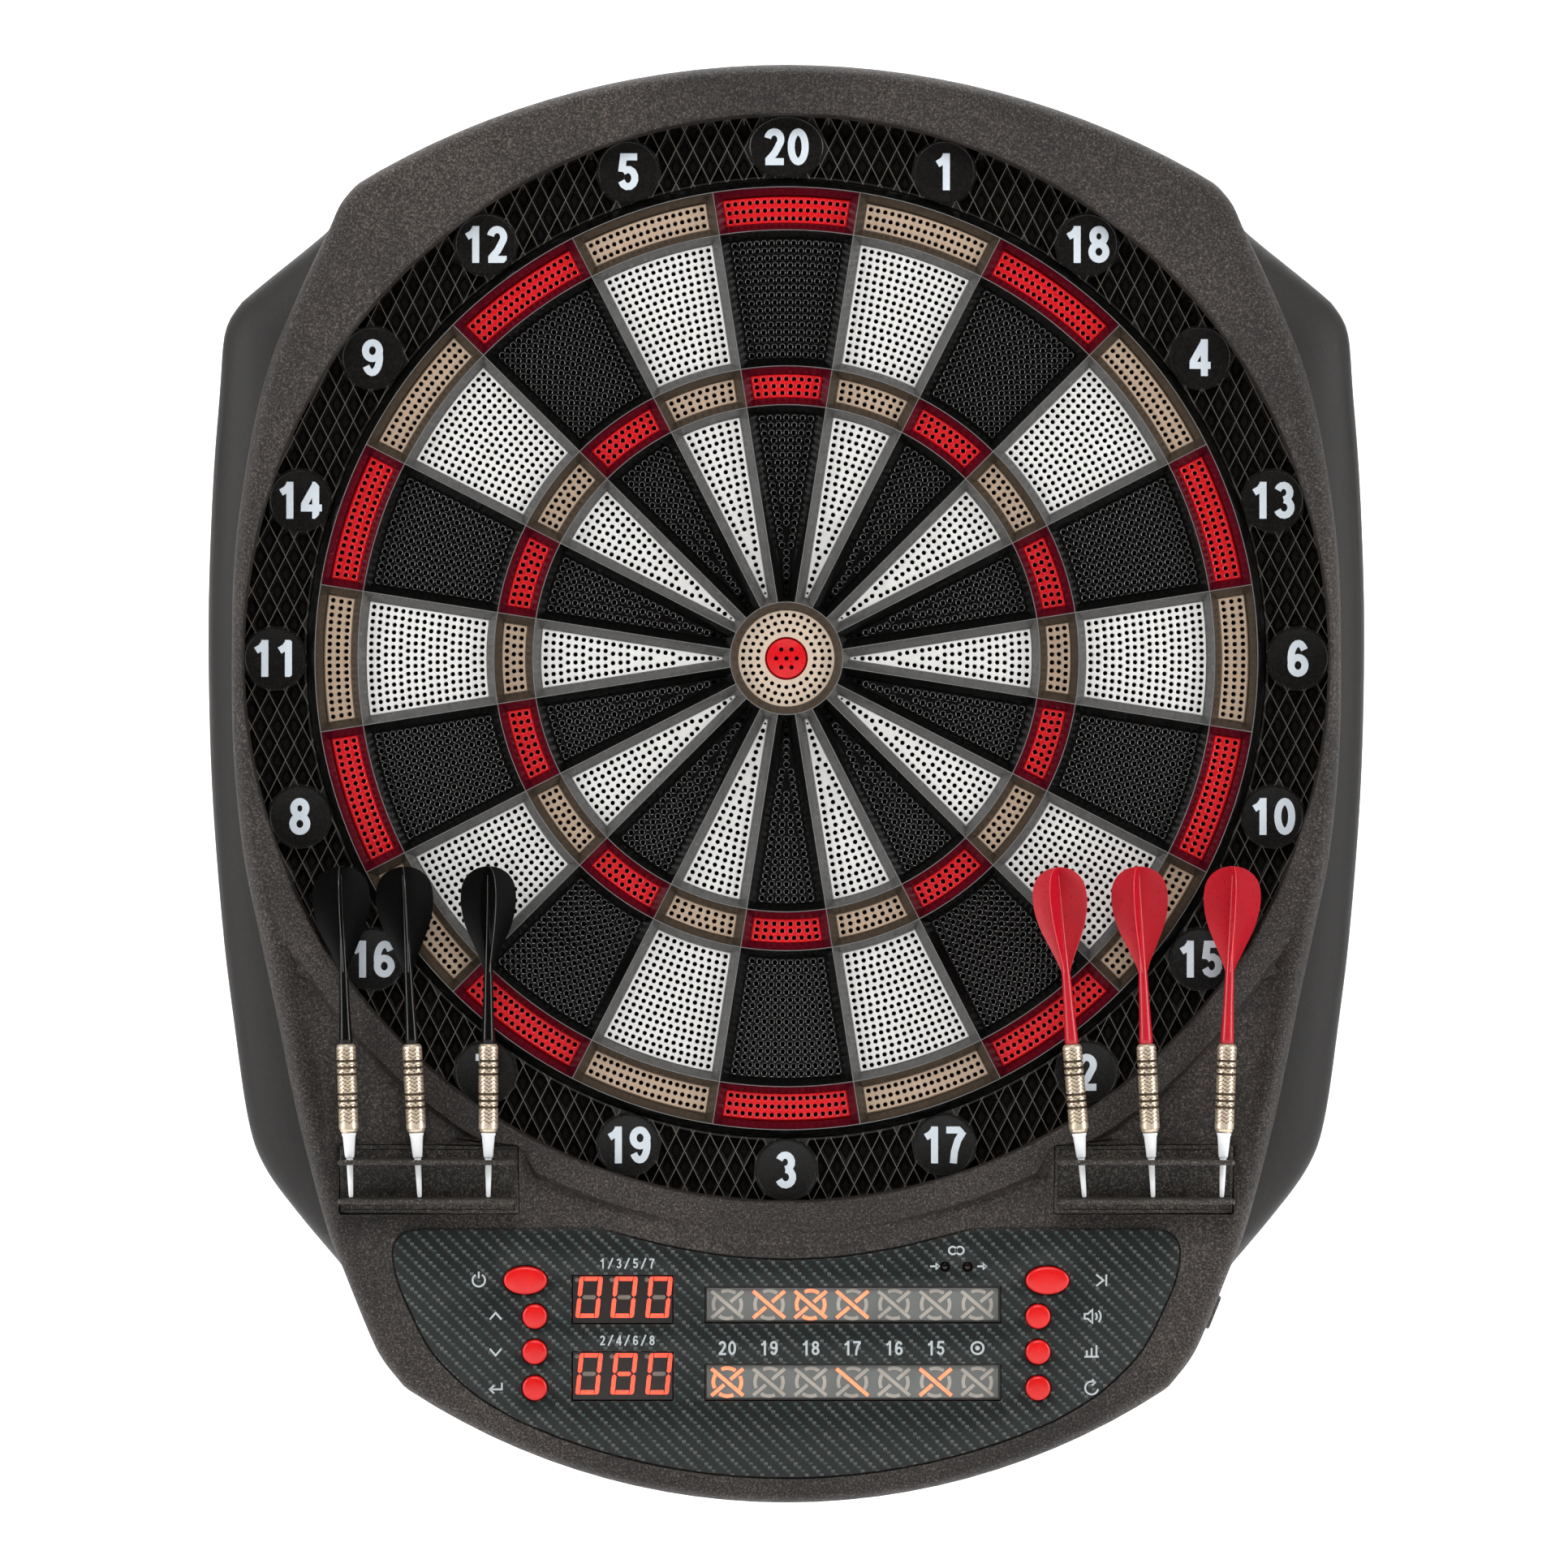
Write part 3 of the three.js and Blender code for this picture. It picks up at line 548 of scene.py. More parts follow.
def lattice_ridges(name, dark, pale):
    """The lattice's face: black plastic with a painted highlight, the pale colour, along its ridges on the
    diamonds' edges, where they catch the light.
    """
    made, tree, shader = new_material(name, Roughness=0.3)
    place = coordinates(tree)
    split = node(tree, "ShaderNodeSeparateXYZ", [(0, place)])
    across = math_node(tree, "DIVIDE", split.outputs["X"], LATTICE[0])
    up = math_node(tree, "DIVIDE", split.outputs["Z"], LATTICE[1])
    nearest = None
    for kind in ("ADD", "SUBTRACT"):
        # a whole number in the middle of a diamond, a half on its edge
        phase = math_node(tree, "FLOORED_MODULO", math_node(tree, kind, across, up), 1)
        gap = math_node(tree, "ABSOLUTE", math_node(tree, "SUBTRACT", phase, 0.5))
        nearest = gap if nearest is None else math_node(tree, "MINIMUM", nearest, gap)
    edge = LATTICE_RIDGE * 1.3 / LATTICE[0]
    # noise makes the painted highlight's width uneven along the ridges
    ridge_highlight_width = math_node(tree, "MULTIPLY", nearest, math_node(tree, "ADD", noise(tree, place, 0.4), 0.5))
    tree.links.new(ramp(tree, ridge_highlight_width, [(edge, pale), (edge * 1.6, dark)]), shader.inputs["Base Color"])
    return made


TOW = 1.55  # width of a tow of the panel's print


def twill(name):
    """Printed carbon-fibre twill: light tows two rows tall, each row a step along, fading downwards."""
    made, tree, shader = new_material(name, Roughness=0.42, Specular_IOR_Level=0.3, Coat_Weight=0.1,
                                      Coat_Roughness=0.2)
    place = coordinates(tree)
    split = node(tree, "ShaderNodeSeparateXYZ", [(0, place)])
    across = math_node(tree, "DIVIDE", split.outputs["X"], TOW)
    up = math_node(tree, "DIVIDE", split.outputs["Z"], TOW)
    column = math_node(tree, "FLOOR", across)
    row = math_node(tree, "FLOOR", up)
    phase = math_node(tree, "FLOORED_MODULO", math_node(tree, "ADD", up, column), 4)
    over = math_node(tree, "LESS_THAN", phase, 2)
    rise = math_node(tree, "POWER", math_node(tree, "MULTIPLY", phase, 0.5), 1.3)
    fade = math_node(tree, "MULTIPLY", over, rise)
    weft = math_node(tree, "FLOORED_MODULO", math_node(tree, "ADD", across, row), 4)
    beneath = math_node(tree, "SUBTRACT", 1, over)
    under = math_node(tree, "MULTIPLY", beneath, math_node(tree, "MULTIPLY", weft, 0.05))
    tow_number = math_node(tree, "FLOOR", math_node(tree, "DIVIDE", math_node(tree, "ADD", up, column), 4))
    cell = node(tree, "ShaderNodeCombineXYZ", [("X", column), ("Y", tow_number)])
    chance = node(tree, "ShaderNodeTexWhiteNoise", [("Vector", cell.outputs[0])]).outputs["Value"]
    grain = math_node(tree, "SUBTRACT", noise(tree, place, 1.7, 3, 0.6), 0.5)
    light = math_node(tree, "MULTIPLY_ADD", grain, 0.5, math_node(tree, "ADD", fade, under))
    light = math_node(tree, "MULTIPLY", light, math_node(tree, "MULTIPLY_ADD", chance, 0.5, 0.75))
    cool = ramp(tree, light, [(0.0, (0.004, 0.005, 0.005)), (0.4, (0.008, 0.0125, 0.0122)),
                              (1.0, (0.078, 0.118, 0.11))])
    warm = ramp(tree, light, [(0.0, (0.004, 0.0045, 0.0042)), (0.4, (0.0095, 0.011, 0.0104)),
                              (1.0, (0.092, 0.1, 0.093))])
    mix = node(tree, "ShaderNodeMix", [("Factor", chance), ("A", cool), ("B", warm)], data_type="RGBA")
    tree.links.new(mix.outputs["Result"], shader.inputs["Base Color"])
    bump(tree, shader, fade, 0.1, 0.08)
    return made


def lit(name, colour, strength):
    """A lamp segment that is on: brightest in its middle, paler where the diffuser is thick."""
    made, tree, shader = new_material(name, Roughness=0.4)
    glow = tint_by(tree, shader, noise(tree, coordinates(tree), 0.6, 2), colour, 0.82, 1.1)
    tree.links.new(glow, shader.inputs["Emission Color"])
    shader.inputs["Emission Strength"].default_value = strength
    return made


def metal(name, colour, rough):
    """Turned metal, slightly mottled and unevenly polished."""
    made, tree, shader = new_material(name, Metallic=0.75, Roughness=rough)
    fine = noise(tree, coordinates(tree), 1.6, 3)
    tint_by(tree, shader, fine, colour, 0.75, 1.12, top=0.65)
    vary_roughness(tree, shader, fine, rough * 0.7, rough * 1.4)
    bump(tree, shader, fine, 0.2, 0.08)
    return made


def fibreboard(name):
    """Pressed brown board with its fibres lying across."""
    made, tree, shader = new_material(name, Roughness=0.85)
    place = coordinates(tree)
    fibres = node(tree, "ShaderNodeMapping", [("Vector", place), ("Scale", (1, 1, 0.15))]).outputs[0]
    stops = [(0.3, (0.07, 0.035, 0.015)), (0.7, (0.2, 0.11, 0.05))]
    tree.links.new(ramp(tree, noise(tree, fibres, 1.2, 5, 0.7), stops), shader.inputs["Base Color"])
    return made


CHARCOAL = (0.0152, 0.0123, 0.0106)
LOOKS = {
    "bezel": textured_plastic("bezel_plastic", CHARCOAL, grain=1.15, contrast=0.8, rough=0.46, relief=0.9),
    # the bezel's charcoal at about a third of its brightness: painted shade on the sloping wings
    "housing": textured_plastic("housing_plastic_painted_shade", shades(CHARCOAL, 0.36)[0], grain=2.0, contrast=0.3,
                                rough=0.5, relief=0.3),
    # lighter than the bezel's charcoal though the same plastic: painted light that offsets the shade the
    # shelves cast on the plate
    "holder": textured_plastic("holder_plastic_painted_light", (0.026, 0.023, 0.02), grain=1.3, contrast=0.7, rough=0.4,
                               relief=0.4),
    "lattice": gloss_plastic("lattice_plastic", (0.004, 0.0032, 0.0026), rough=0.22, waviness=0.25,
                             specular=0.35),
    "disc": gloss_plastic("disc_plastic", (0.0045, 0.0038, 0.0034), rough=0.24, waviness=0.1,
                          specular=0.35),
    # painted light: each smoke colour is the glow of the pad beside the bar, seen through the clear web
    "smoke_lit_by_white": smoked("smoke_painted_white_pad_light", (0.105, 0.103, 0.1)),
    "smoke_lit_by_beige": smoked("smoke_painted_beige_pad_light", (0.055, 0.04, 0.028)),
    "smoke_lit_by_red": smoked("smoke_painted_red_pad_light", (0.075, 0.0015, 0.008)),
    "smoke_lit_by_black": smoked("smoke_painted_black_pad_light", (0.0025, 0.0023, 0.0021)),
    # painted highlight: the pale grey of the web's thin crests where they catch the light
    "crest": gloss_plastic("web_crest_painted_highlight", (0.13, 0.13, 0.13), rough=0.25),
    # painted highlight: pale lines where the lattice's ridges catch the light
    "ridge": lattice_ridges("lattice_ridge", (0.004, 0.0032, 0.0026), (0.085, 0.077, 0.068)),
    "white": pad_plastic("white_pad", (0.6, 0.595, 0.58)),
    "beige": pad_plastic("beige_pad", (0.39, 0.285, 0.205)),
    "bull": pad_plastic("bull_pad", (0.5, 0.4, 0.315)),
    # painted glow: the red pads get a faint emission
    "red": pad_plastic("red_pad", (0.52, 0.002, 0.006), rough=0.28, glow=0.08),
    "black": gloss_plastic("black_pad", (0.0014, 0.0011, 0.001), rough=0.2, mottling=0.2, specular=0.24),
    # painted glint: a lighter, glossier black for the black pads' hole funnels, so thin light rings show
    # round the holes
    "black_lip_glint": gloss_plastic("black_pad_lip_painted_glint", (0.007, 0.006, 0.0055), rough=0.14, mottling=0.3,
                               specular=0.55),
    # the sides and feet of the pads, lighter than their faces and, but for the black, glowing: painted light
    # for what the clear web carries down to them
    "white_edge": pad_plastic("white_pad_edge_painted_light", (0.64, 0.65, 0.65), glow=0.12),
    "beige_edge": pad_plastic("beige_pad_edge_painted_light", (0.43, 0.33, 0.24), glow=0.12),
    "red_edge": pad_plastic("red_pad_edge_painted_light", (0.64, 0.004, 0.012), glow=0.12),
    "black_edge": gloss_plastic("black_pad_edge_painted_light", (0.008, 0.007, 0.0065), rough=0.3),
    "hole": hole_dark(),
    "digit": gloss_plastic("digit_paint", (0.56, 0.61, 0.66), rough=0.4, mottling=0.04),
    "print": gloss_plastic("panel_print", (0.42, 0.45, 0.46), rough=0.4, mottling=0.05),
    "twill": twill("carbon_print"),
    "button": gloss_plastic("button_plastic", (0.62, 0.007, 0.007), rough=0.22, mottling=0.06),
    "score_face": gloss_plastic("score_face", (0.008, 0.004, 0.003), rough=0.12),
    "segment_on": lit("segment_on", (1.0, 0.07, 0.035), 1.3),
    "segment_off": gloss_plastic("segment_off", (0.16, 0.13, 0.11), rough=0.4),
    "mark_face": gloss_plastic("mark_face", (0.13, 0.135, 0.13), rough=0.3),
    "mark_on": lit("mark_on", (1.0, 0.2, 0.09), 1.25),
    "mark_off": gloss_plastic("mark_off", (0.36, 0.33, 0.29), rough=0.4),
    "brass": metal("champagne_barrel", (0.72, 0.6, 0.46), 0.34),
    # darker copies of the barrel's metal: painted shade in the knurl and in the grooves
    "knurl": metal("barrel_knurl", (0.2, 0.145, 0.095), 0.42),
    "groove": metal("barrel_groove", (0.11, 0.08, 0.055), 0.5),
    "tip": pad_plastic("tip_plastic", (0.78, 0.79, 0.8), rough=0.35),
    "dart_black": gloss_plastic("dart_black", (0.0022, 0.002, 0.0019), rough=0.16, waviness=0.02,
                                specular=0.26),
    # painted highlight: the flights' thin outer edges, much lighter than the vanes
    "black_flight_highlight_edge": gloss_plastic("black_flight_highlight_edge", (0.07, 0.065, 0.06), rough=0.3),
    "red_flight_highlight_edge": gloss_plastic("red_flight_highlight_edge", (0.75, 0.06, 0.08), rough=0.3),
    "dart_red": gloss_plastic("dart_red", (0.42, 0.003, 0.013), rough=0.28, mottling=0.05),
    "screw": metal("screw_steel", (0.3, 0.28, 0.25), 0.32),
    "rubber": textured_plastic("mat_rubber", (0.012, 0.012, 0.012), grain=0.8, contrast=0.3, rough=0.8),
    "film": gloss_plastic("switch_film", (0.5, 0.5, 0.42), rough=0.35),
    "board": gloss_plastic("circuit_lacquer", (0.02, 0.11, 0.04), rough=0.35, mottling=0.3),
    "fibre": fibreboard("backing_fibre"),
}


# ---------------------------------------------------------------- pieces

def piece(name, solid, looks, body="board", stands_for=(), smooth=30):
    """Makes a Solid into an object on a CAD body. Edges over `smooth` degrees stay sharp."""
    mesh = bpy.data.meshes.new(name)
    mesh.from_pydata([at(*p) for p in solid.points], [], solid.faces)
    for look in looks:
        mesh.materials.append(LOOKS[look])
    mesh.polygons.foreach_set("material_index", solid.looks)
    if smooth:
        mesh.polygons.foreach_set("use_smooth", [True] * len(solid.faces))
        mesh.set_sharp_from_angle(angle=smooth * DEG)
    mesh.update()
    mesh.validate()
    obj = bpy.data.objects.new(name, mesh)
    bpy.context.scene.collection.objects.link(obj)
    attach(obj, body)
    if stands_for:
        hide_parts(*stands_for)
    return obj


def repaint(node_name, look):
    """A CAD node that stays, with a finished material."""
    obj = frame["nodes"][node_name]
    obj.data.materials.clear()
    obj.data.materials.append(LOOKS[look])


# ---------------------------------------------------------------- scoring pads

def pad_rings():
    """Every ring of pads as (name, inner radius, outer radius)."""
    ring_bar = WEB_BAR[1] + PAD_GAP
    return [
        ("single_inner", BULL_OUTER + ring_bar, TRIPLE[0] - ring_bar),
        ("triple", TRIPLE[0] + ring_bar, TRIPLE[1] - ring_bar),
        ("single_outer", TRIPLE[1] + ring_bar, DOUBLE[0] - ring_bar),
        ("double", DOUBLE[0] + ring_bar, DOUBLE[1] - ring_bar - 0.6),
    ]


def sector_outline(inner, outer, side_gap, steps):
    """A pad's outline in the sector that points up. side_gap is its distance from the sector's edges."""
    loop = []
    for radius, direction in ((outer, 1), (inner, -1)):
        reach = SECTOR / 2 - math.asin(side_gap / radius)
        for i in range(steps + 1):
            angle = math.pi / 2 + direction * (2 * i / steps - 1) * reach
            loop.append((radius * math.cos(angle), radius * math.sin(angle)))
    return loop


def rows_of_holes(inner, outer, side_gap, count, per_row):
    """Dart holes in `count` rows between two radii; per_row(row, arc width) gives each row's number.

    A hole is (x, y, room); room is the distance to the pad's edge, which is little near its tip.
    """
    holes = []
    for row in range(count):
        radius = inner + HOLE_MARGIN + (outer - inner - 2 * HOLE_MARGIN) * row / (count - 1)
        room = radius * math.sin(SECTOR / 2) - side_gap - PAD_BEVEL - 0.05
        reach = max(0, SECTOR / 2 - math.asin((side_gap + HOLE_MARGIN) / radius))
        number = per_row(row, 2 * reach * radius)
        for i in range(number):
            angle = math.pi / 2 + (reach * (2 * i / (number - 1) - 1) if number > 1 else 0)
            holes.append((radius * math.cos(angle), radius * math.sin(angle), room))
    return holes


def hole_layout(name, inner, outer, side_gap):
    if name == "double":
        return rows_of_holes(inner, outer, side_gap, 3, lambda row, width: 17)
    if name == "triple":
        return rows_of_holes(inner, outer, side_gap, 3, lambda row, width: (8, 8, 9)[row])
    if name == "single_outer":
        return rows_of_holes(inner, outer, side_gap, 16, lambda row, width: 10 + round(row / 3))
    return rows_of_holes(inner, outer, side_gap, 24, lambda row, width: 1 + int(width / HOLE_PITCH))


BORE_DEPTH = 6  # how far down the outer bull's opening has a wall


def drilled(outline, holes, foot, face, bore=()):
    """A pad: flange, upright wall and a face with a countersunk hole at every place.

    `bore` is the radius and number of sides of a round opening in its middle.
    """
    solid = Solid()
    flange = inset(outline, -PAD_SKIRT)
    rows = [(flange, foot), (flange, foot + PAD_FLANGE), (outline, foot + PAD_FLANGE),
            (outline, face - PAD_BEVEL), (inset(outline, PAD_BEVEL), face)]
    # the flange and the wall take look 2, a lighter copy of the pad's look: painted light
    solid.add(stack(rows, high_cap=False), look=2)
    loops = [inset(outline, PAD_BEVEL)]
    if bore:
        radius, sides = bore
        loops.append(circle(radius + PAD_BEVEL, sides))
        profile = [(radius + PAD_BEVEL, face), (radius, face - PAD_BEVEL), (radius, face - BORE_DEPTH)]
        solid.add(lathe(profile, sides))
    for x, y, room in holes:
        mouth, shaft = min(HOLE_MOUTH, room), min(HOLE, room - 0.1)
        loops.append(circle(mouth, HOLE_SIDES, x, y))
        profile = [(mouth + share * (shaft - mouth), face - depth) for share, depth in HOLE_FUNNEL]
        profile.append((shaft, face - HOLE_DEPTH))
        solid.add(lathe(profile, HOLE_SIDES, x, y), look=3)
        bottom = raised([circle(shaft, HOLE_SIDES, x, y)], face - HOLE_DEPTH)
        solid.add((bottom, [tuple(range(HOLE_SIDES))]), look=1)
    solid.add((raised(loops, face), fill(loops)))
    return solid


def turned_solid(solid, angle):
    copy = Solid()
    copy.points = turned(solid.points, angle)
    copy.faces, copy.looks = solid.faces, solid.looks
    return copy


def build_pads():
    """Four pads in every sector; the colours take turns round the board."""
    side_gap = WEB_BAR[0] + PAD_GAP
    for name, inner, outer in pad_rings():
        outline = sector_outline(inner, outer, side_gap, 6)
        solid = drilled(outline, hole_layout(name, inner, outer, side_gap), PAD_FOOT, PAD_FACE)
        for index, number in enumerate(NUMBERS):
            even = index % 2 == 0
            if name in ("double", "triple"):
                look, slot = ("red", "pad_red") if even else ("beige", "pad_beige")
            else:
                look, slot = ("black", "pad_black") if even else ("white", "pad_white")
            stands_for = (f"segments_{number}",) if name == "single_outer" else ()
            # the black pads' hole funnels take the lighter black, a painted glint
            lip = "black_lip_glint" if look == "black" else look
            # the third look is the pad's edge copy, with painted light
            looks = (look, "hole", look + "_edge", lip)
            piece(f"{name}_{number}", turned_solid(solid, -index * SECTOR), looks,
                  body=f"segment_group_{number}", stands_for=stands_for, smooth=50)


def raise_face(solid, rise):
    """Domes a turned pad: every point above its flange goes up by rise(radius)."""
    flange = PAD_FOOT + PAD_FLANGE + 0.1
    solid.points = [(x, y, level + (rise(math.hypot(x, y)) if level > flange else 0))
                    for x, y, level in solid.points]


def build_bulls():
    """The outer bull, a slightly domed ring, and the inner bull inside it."""
    inner = BULL_INNER + 0.6
    outer = BULL_OUTER - WEB_BAR[1] - PAD_GAP
    holes = []
    for radius, count in ((12.0, 24), (15.2, 30), (18.25, 36)):
        holes += [(x, y, 1) for x, y in circle(radius, count)]
    ring = drilled(circle(outer, 72), holes, PAD_FOOT, PAD_FACE, bore=(inner, 48))
    raise_face(ring, lambda radius: 0.8 * (outer - radius) / (outer - inner))
    piece("outer_bull", ring, ("bull", "hole", "beige_edge", "bull"), body="bull_outer_body",
          stands_for=("bull_outer",), smooth=50)
    core_holes = [(x, y, 1) for x, y in [(0, 0)] + circle(4.3, 6)]
    core = drilled(circle(BULL_INNER - 0.2, 40), core_holes, PAD_FOOT, PAD_FACE + 0.3)
    raise_face(core, lambda radius: 1.2 * (1 - (radius / BULL_INNER) ** 2))
    piece("inner_bull", core, ("red", "hole", "red_edge", "red"), body="bull_inner_body",
          stands_for=("bull_inner",), smooth=50)


# ---------------------------------------------------------------- web

def build_web():
    """The smoke-clear web: a tapered bar round every pad, with a thin rounded ridge along its crest that is
    painted a pale highlight grey.
    """
    cells = [(BULL_OUTER, TRIPLE[0], 8), (TRIPLE[0], TRIPLE[1], 8), (TRIPLE[1], DOUBLE[0], 8),
             (DOUBLE[0], DOUBLE[1], 10)]
    # half width of the bars at each level: radial, ring
    rows = [(WEB_TOP, WEB_CREST, WEB_CREST), (WEB_TOP - 0.2, 0.3, 0.3),
            (WEB_EDGE, WEB_BAR[0] - 0.1, WEB_BAR[1] - 0.1), (WEB_EDGE - 0.25, *WEB_BAR),
            (WEB_FOOT, *WEB_BAR)]
    solid = Solid()
    tops, feet = [], []
    # the plastic round each pad is painted with that pad's light, as if it shone through the web: looks of
    # the even and odd sectors, by ring
    by_pad = [(4, 1), (3, 2), (4, 1), (3, 2)]
    for (inner, outer, steps), pad_light_looks in zip(cells, by_pad):
        for sector in range(20):
            loops = []
            for level, radial_half, ring_half in rows:
                loop = sector_outline(inner + ring_half, outer - ring_half, radial_half, steps)
                loops.append(turned(raised([loop], level), sector * SECTOR))
            points = [p for loop in reversed(loops) for p in loop]
            solid.add((points, walls(len(loops[0]), len(loops), inward=True)), look=pad_light_looks[sector % 2])
            tops.append([p[:2] for p in loops[0]])
            feet.append([p[:2] for p in loops[-1]])
    bull = [(BULL_OUTER - half, level) for level, _, half in rows]
    solid.add(lathe(bull, 72), look=2)
    tops.append(circle(bull[0][0], 72))
    feet.append(circle(bull[-1][0], 72))
    rim = [(DOUBLE[1] + WEB_CREST, WEB_TOP), (DOUBLE[1] + 0.3, WEB_TOP - 0.2),
           (WEB_RIM - 0.4, WEB_EDGE + 0.6), (WEB_RIM, WEB_EDGE - 0.2), (WEB_RIM, WEB_FOOT)]
    sides = 200
    solid.add(lathe(rim[::-1], sides), look=4)
    for loops, radius, level, flip in ((tops, rim[0][0], WEB_TOP, False), (feet, WEB_RIM, WEB_FOOT, True)):
        loops = [circle(radius, sides)] + loops
        faces = flipped(fill(loops)) if flip else fill(loops)
        # the tops between the crest lines take the painted highlight, the feet the black smoke
        solid.add((raised(loops, level), faces), look=4 if flip else 0)
    looks = ("crest", "smoke_lit_by_white", "smoke_lit_by_beige", "smoke_lit_by_red", "smoke_lit_by_black")
    piece("smoked_web", solid, looks, stands_for=("web",), smooth=35)


# ---------------------------------------------------------------- catch ring

def clipped(polygon, point, direction):
    """The part of a convex polygon on the near side of the line through `point` square to `direction`."""
    kept = []
    depth = [(x - point[0]) * direction[0] + (y - point[1]) * direction[1] for x, y in polygon]
    for i, (a, da) in enumerate(zip(polygon, depth)):
        b, db = polygon[(i + 1) % len(polygon)], depth[(i + 1) % len(polygon)]
        if da <= 0:
            kept.append(a)
        if da * db < 0:
            t = da / (da - db)
            kept.append((a[0] + t * (b[0] - a[0]), a[1] + t * (b[1] - a[1])))
    return kept


def area_of(polygon):
    return 0.5 * sum(a[0] * b[1] - b[0] * a[1] for a, b in zip(polygon, polygon[1:] + polygon[:1]))


def scaled(polygon, factor):
    cx = sum(x for x, _ in polygon) / len(polygon)
    cy = sum(y for _, y in polygon) / len(polygon)
    return [(cx + factor * (x - cx), cy + factor * (y - cy)) for x, y in polygon]


def disc_places():
    angles = [math.pi / 2 - i * SECTOR for i in range(20)]
    return [(DISC_CENTRE * math.cos(a), DISC_CENTRE * math.sin(a)) for a in angles]


CATCH_INNER = WEB_RIM + 0.5
CATCH_OUTER = 227.3


def lattice_cells():
    """The diamonds of the lattice, cut to the ring and round the number discs."""
    cells = []
    width, height = LATTICE
    half_w, half_h = width / 2 - LATTICE_RIDGE * 1.13, height / 2 - LATTICE_RIDGE * 2.25
    discs = disc_places()
    across, up = int(2 * CATCH_OUTER / width) + 2, int(2 * CATCH_OUTER / height) + 2
    for i in range(-across, across + 1):
        for j in range(-up, up + 1):
            x, y = i * width / 2, j * height / 2
            radius = math.hypot(x, y)
            if (i + j) % 2 or not CATCH_INNER - 8 < radius < CATCH_OUTER + 8:
                continue
            cell = [(x + half_w, y), (x, y + half_h), (x - half_w, y), (x, y - half_h)]
            out = (x / radius, y / radius)
            for limit, sign in ((CATCH_OUTER - 0.8, 1), (CATCH_INNER + 0.8, -1)):
                cell = clipped(cell, (out[0] * limit, out[1] * limit), (sign * out[0], sign * out[1]))
            for dx, dy in discs:
                gap = math.hypot(x - dx, y - dy)
                if gap < 1:
                    cell = []
                elif gap < WIDE_DISC + 8:
                    away = ((x - dx) / gap, (y - dy) / gap)
                    edge = DISC_RADIUS + 0.4
                    if (dx, dy) == discs[0]:
                        edge = 0.4 + 1 / math.hypot(away[0] / WIDE_DISC, away[1] / DISC_RADIUS)
                    cell = clipped(cell, (dx + away[0] * edge, dy + away[1] * edge), (-away[0], -away[1]))
            if len(cell) > 2 and area_of(cell) > 5:
                cells.append(cell)
    return cells


def build_catch_ring():
    """The lattice ring round the target."""
    solid = Solid()
    cells = lattice_cells()
    floor = CATCH_BACK + 0.7
    for cell in cells:
        rows = [(scaled(cell, 0.46), floor), (scaled(cell, 0.5), CATCH_TOP - 2.3),
                (scaled(cell, 0.9), CATCH_TOP - 0.35), (cell, CATCH_TOP)]
        points = [(x, y, level) for loop, level in rows for x, y in loop]
        count = len(cell)
        solid.add((points, walls(count, len(rows), inward=True)))
        solid.add((points[:count], [tuple(range(count))]), look=1)
    sides = 160
    rim_loops = [circle(CATCH_OUTER, sides), circle(CATCH_INNER, sides)]
    solid.add((raised(rim_loops + cells, CATCH_TOP), fill(rim_loops + cells)), look=2)
    solid.add((raised(rim_loops, CATCH_BACK), flipped(fill(rim_loops))))
    for loop, inward in zip(rim_loops, (False, True)):
        solid.add(wall(loop, CATCH_BACK, CATCH_TOP, inward))
    piece("number_ring", solid, ("lattice", "hole", "ridge"), stands_for=("catch_ring",),
          smooth=20)


def build_discs():
    """The dished discs that carry the sector numbers, the top one wider than the others."""
    discs = Solid()
    foot, dish = CATCH_TOP + 0.05, DISC_TOP - 0.3
    profile = [(0, foot), (DISC_RADIUS - 0.25, foot), (DISC_RADIUS, foot + 0.25), (DISC_RADIUS, dish),
               (DISC_RADIUS - 0.22, DISC_TOP), (DISC_RADIUS - 0.55, DISC_TOP), (DISC_RADIUS - 0.85, dish),
               (DISC_RADIUS * 0.55, dish - 0.28), (0, dish - 0.42)]
    for number, (x, y) in enumerate(disc_places()):
        points, faces = lathe(profile, 48)
        wide = 1 if number else WIDE_DISC / DISC_RADIUS
        discs.add(([(x + px * wide, y + py, level) for px, py, level in points], faces))
    piece("number_discs", discs, ("disc",), smooth=28)


# ---------------------------------------------------------------- bezel

def bezel_height(points, outline):
    """Level of the bezel's face at each point: rounded outer edge, raised ring band, sunk lower corners."""
    points = np.array(points, float)
    x, y = points[:, 0], points[:, 1]
    edge = distance_to(points, outline)
    radius = np.hypot(x, y)
    lower = ease((40 - y) / 90)
    band = np.exp(-((radius - OPENING - 6) / 5.2) ** 2)
    corner = ease((radius - 238) / 2.4) * ease((edge - 7) / 9) * ease((y + 246) / 24) * ease((-18 - y) / 60)
    floor = FRONT - 0.9 + 0.55 * band * lower
    level = floor + (RECESS - FRONT + 0.9) * corner
    rim = np.exp(-((edge - 4.6) / 2.6) ** 2)
    level = level + 0.75 * rim
    reach = 6.2
    drop = np.clip(1 - edge / reach, 0, 1)
    return level - reach * 0.95 * (1 - np.sqrt(1 - drop ** 2))


def seat_outlines():
    """Steps sunk into the bezel: (outline, floor level, width of the ledge round a through hole or 0)."""
    seats = [(inset(fascia_outline(), -0.85), FASCIA_BACK - 0.25, FASCIA_LEDGE)]
    for side in ("left", "right"):
        low, high = node_box(f"dart_holder_{side}")
        seats.append((rectangle(high[0] - low[0] + 0.7, high[1] - low[1] + 0.7, (low[0] + high[0]) / 2,
                                (low[1] + high[1]) / 2, 1.2, 2), RECESS, 0))
    return seats


OPENING_SIDES = 180
LIP = 1.3  # rounding of the opening's edge
COLLAR = 2.2  # wall round the opening
FASCIA_LEDGE = 4  # width of the ledge that the fascia rests on


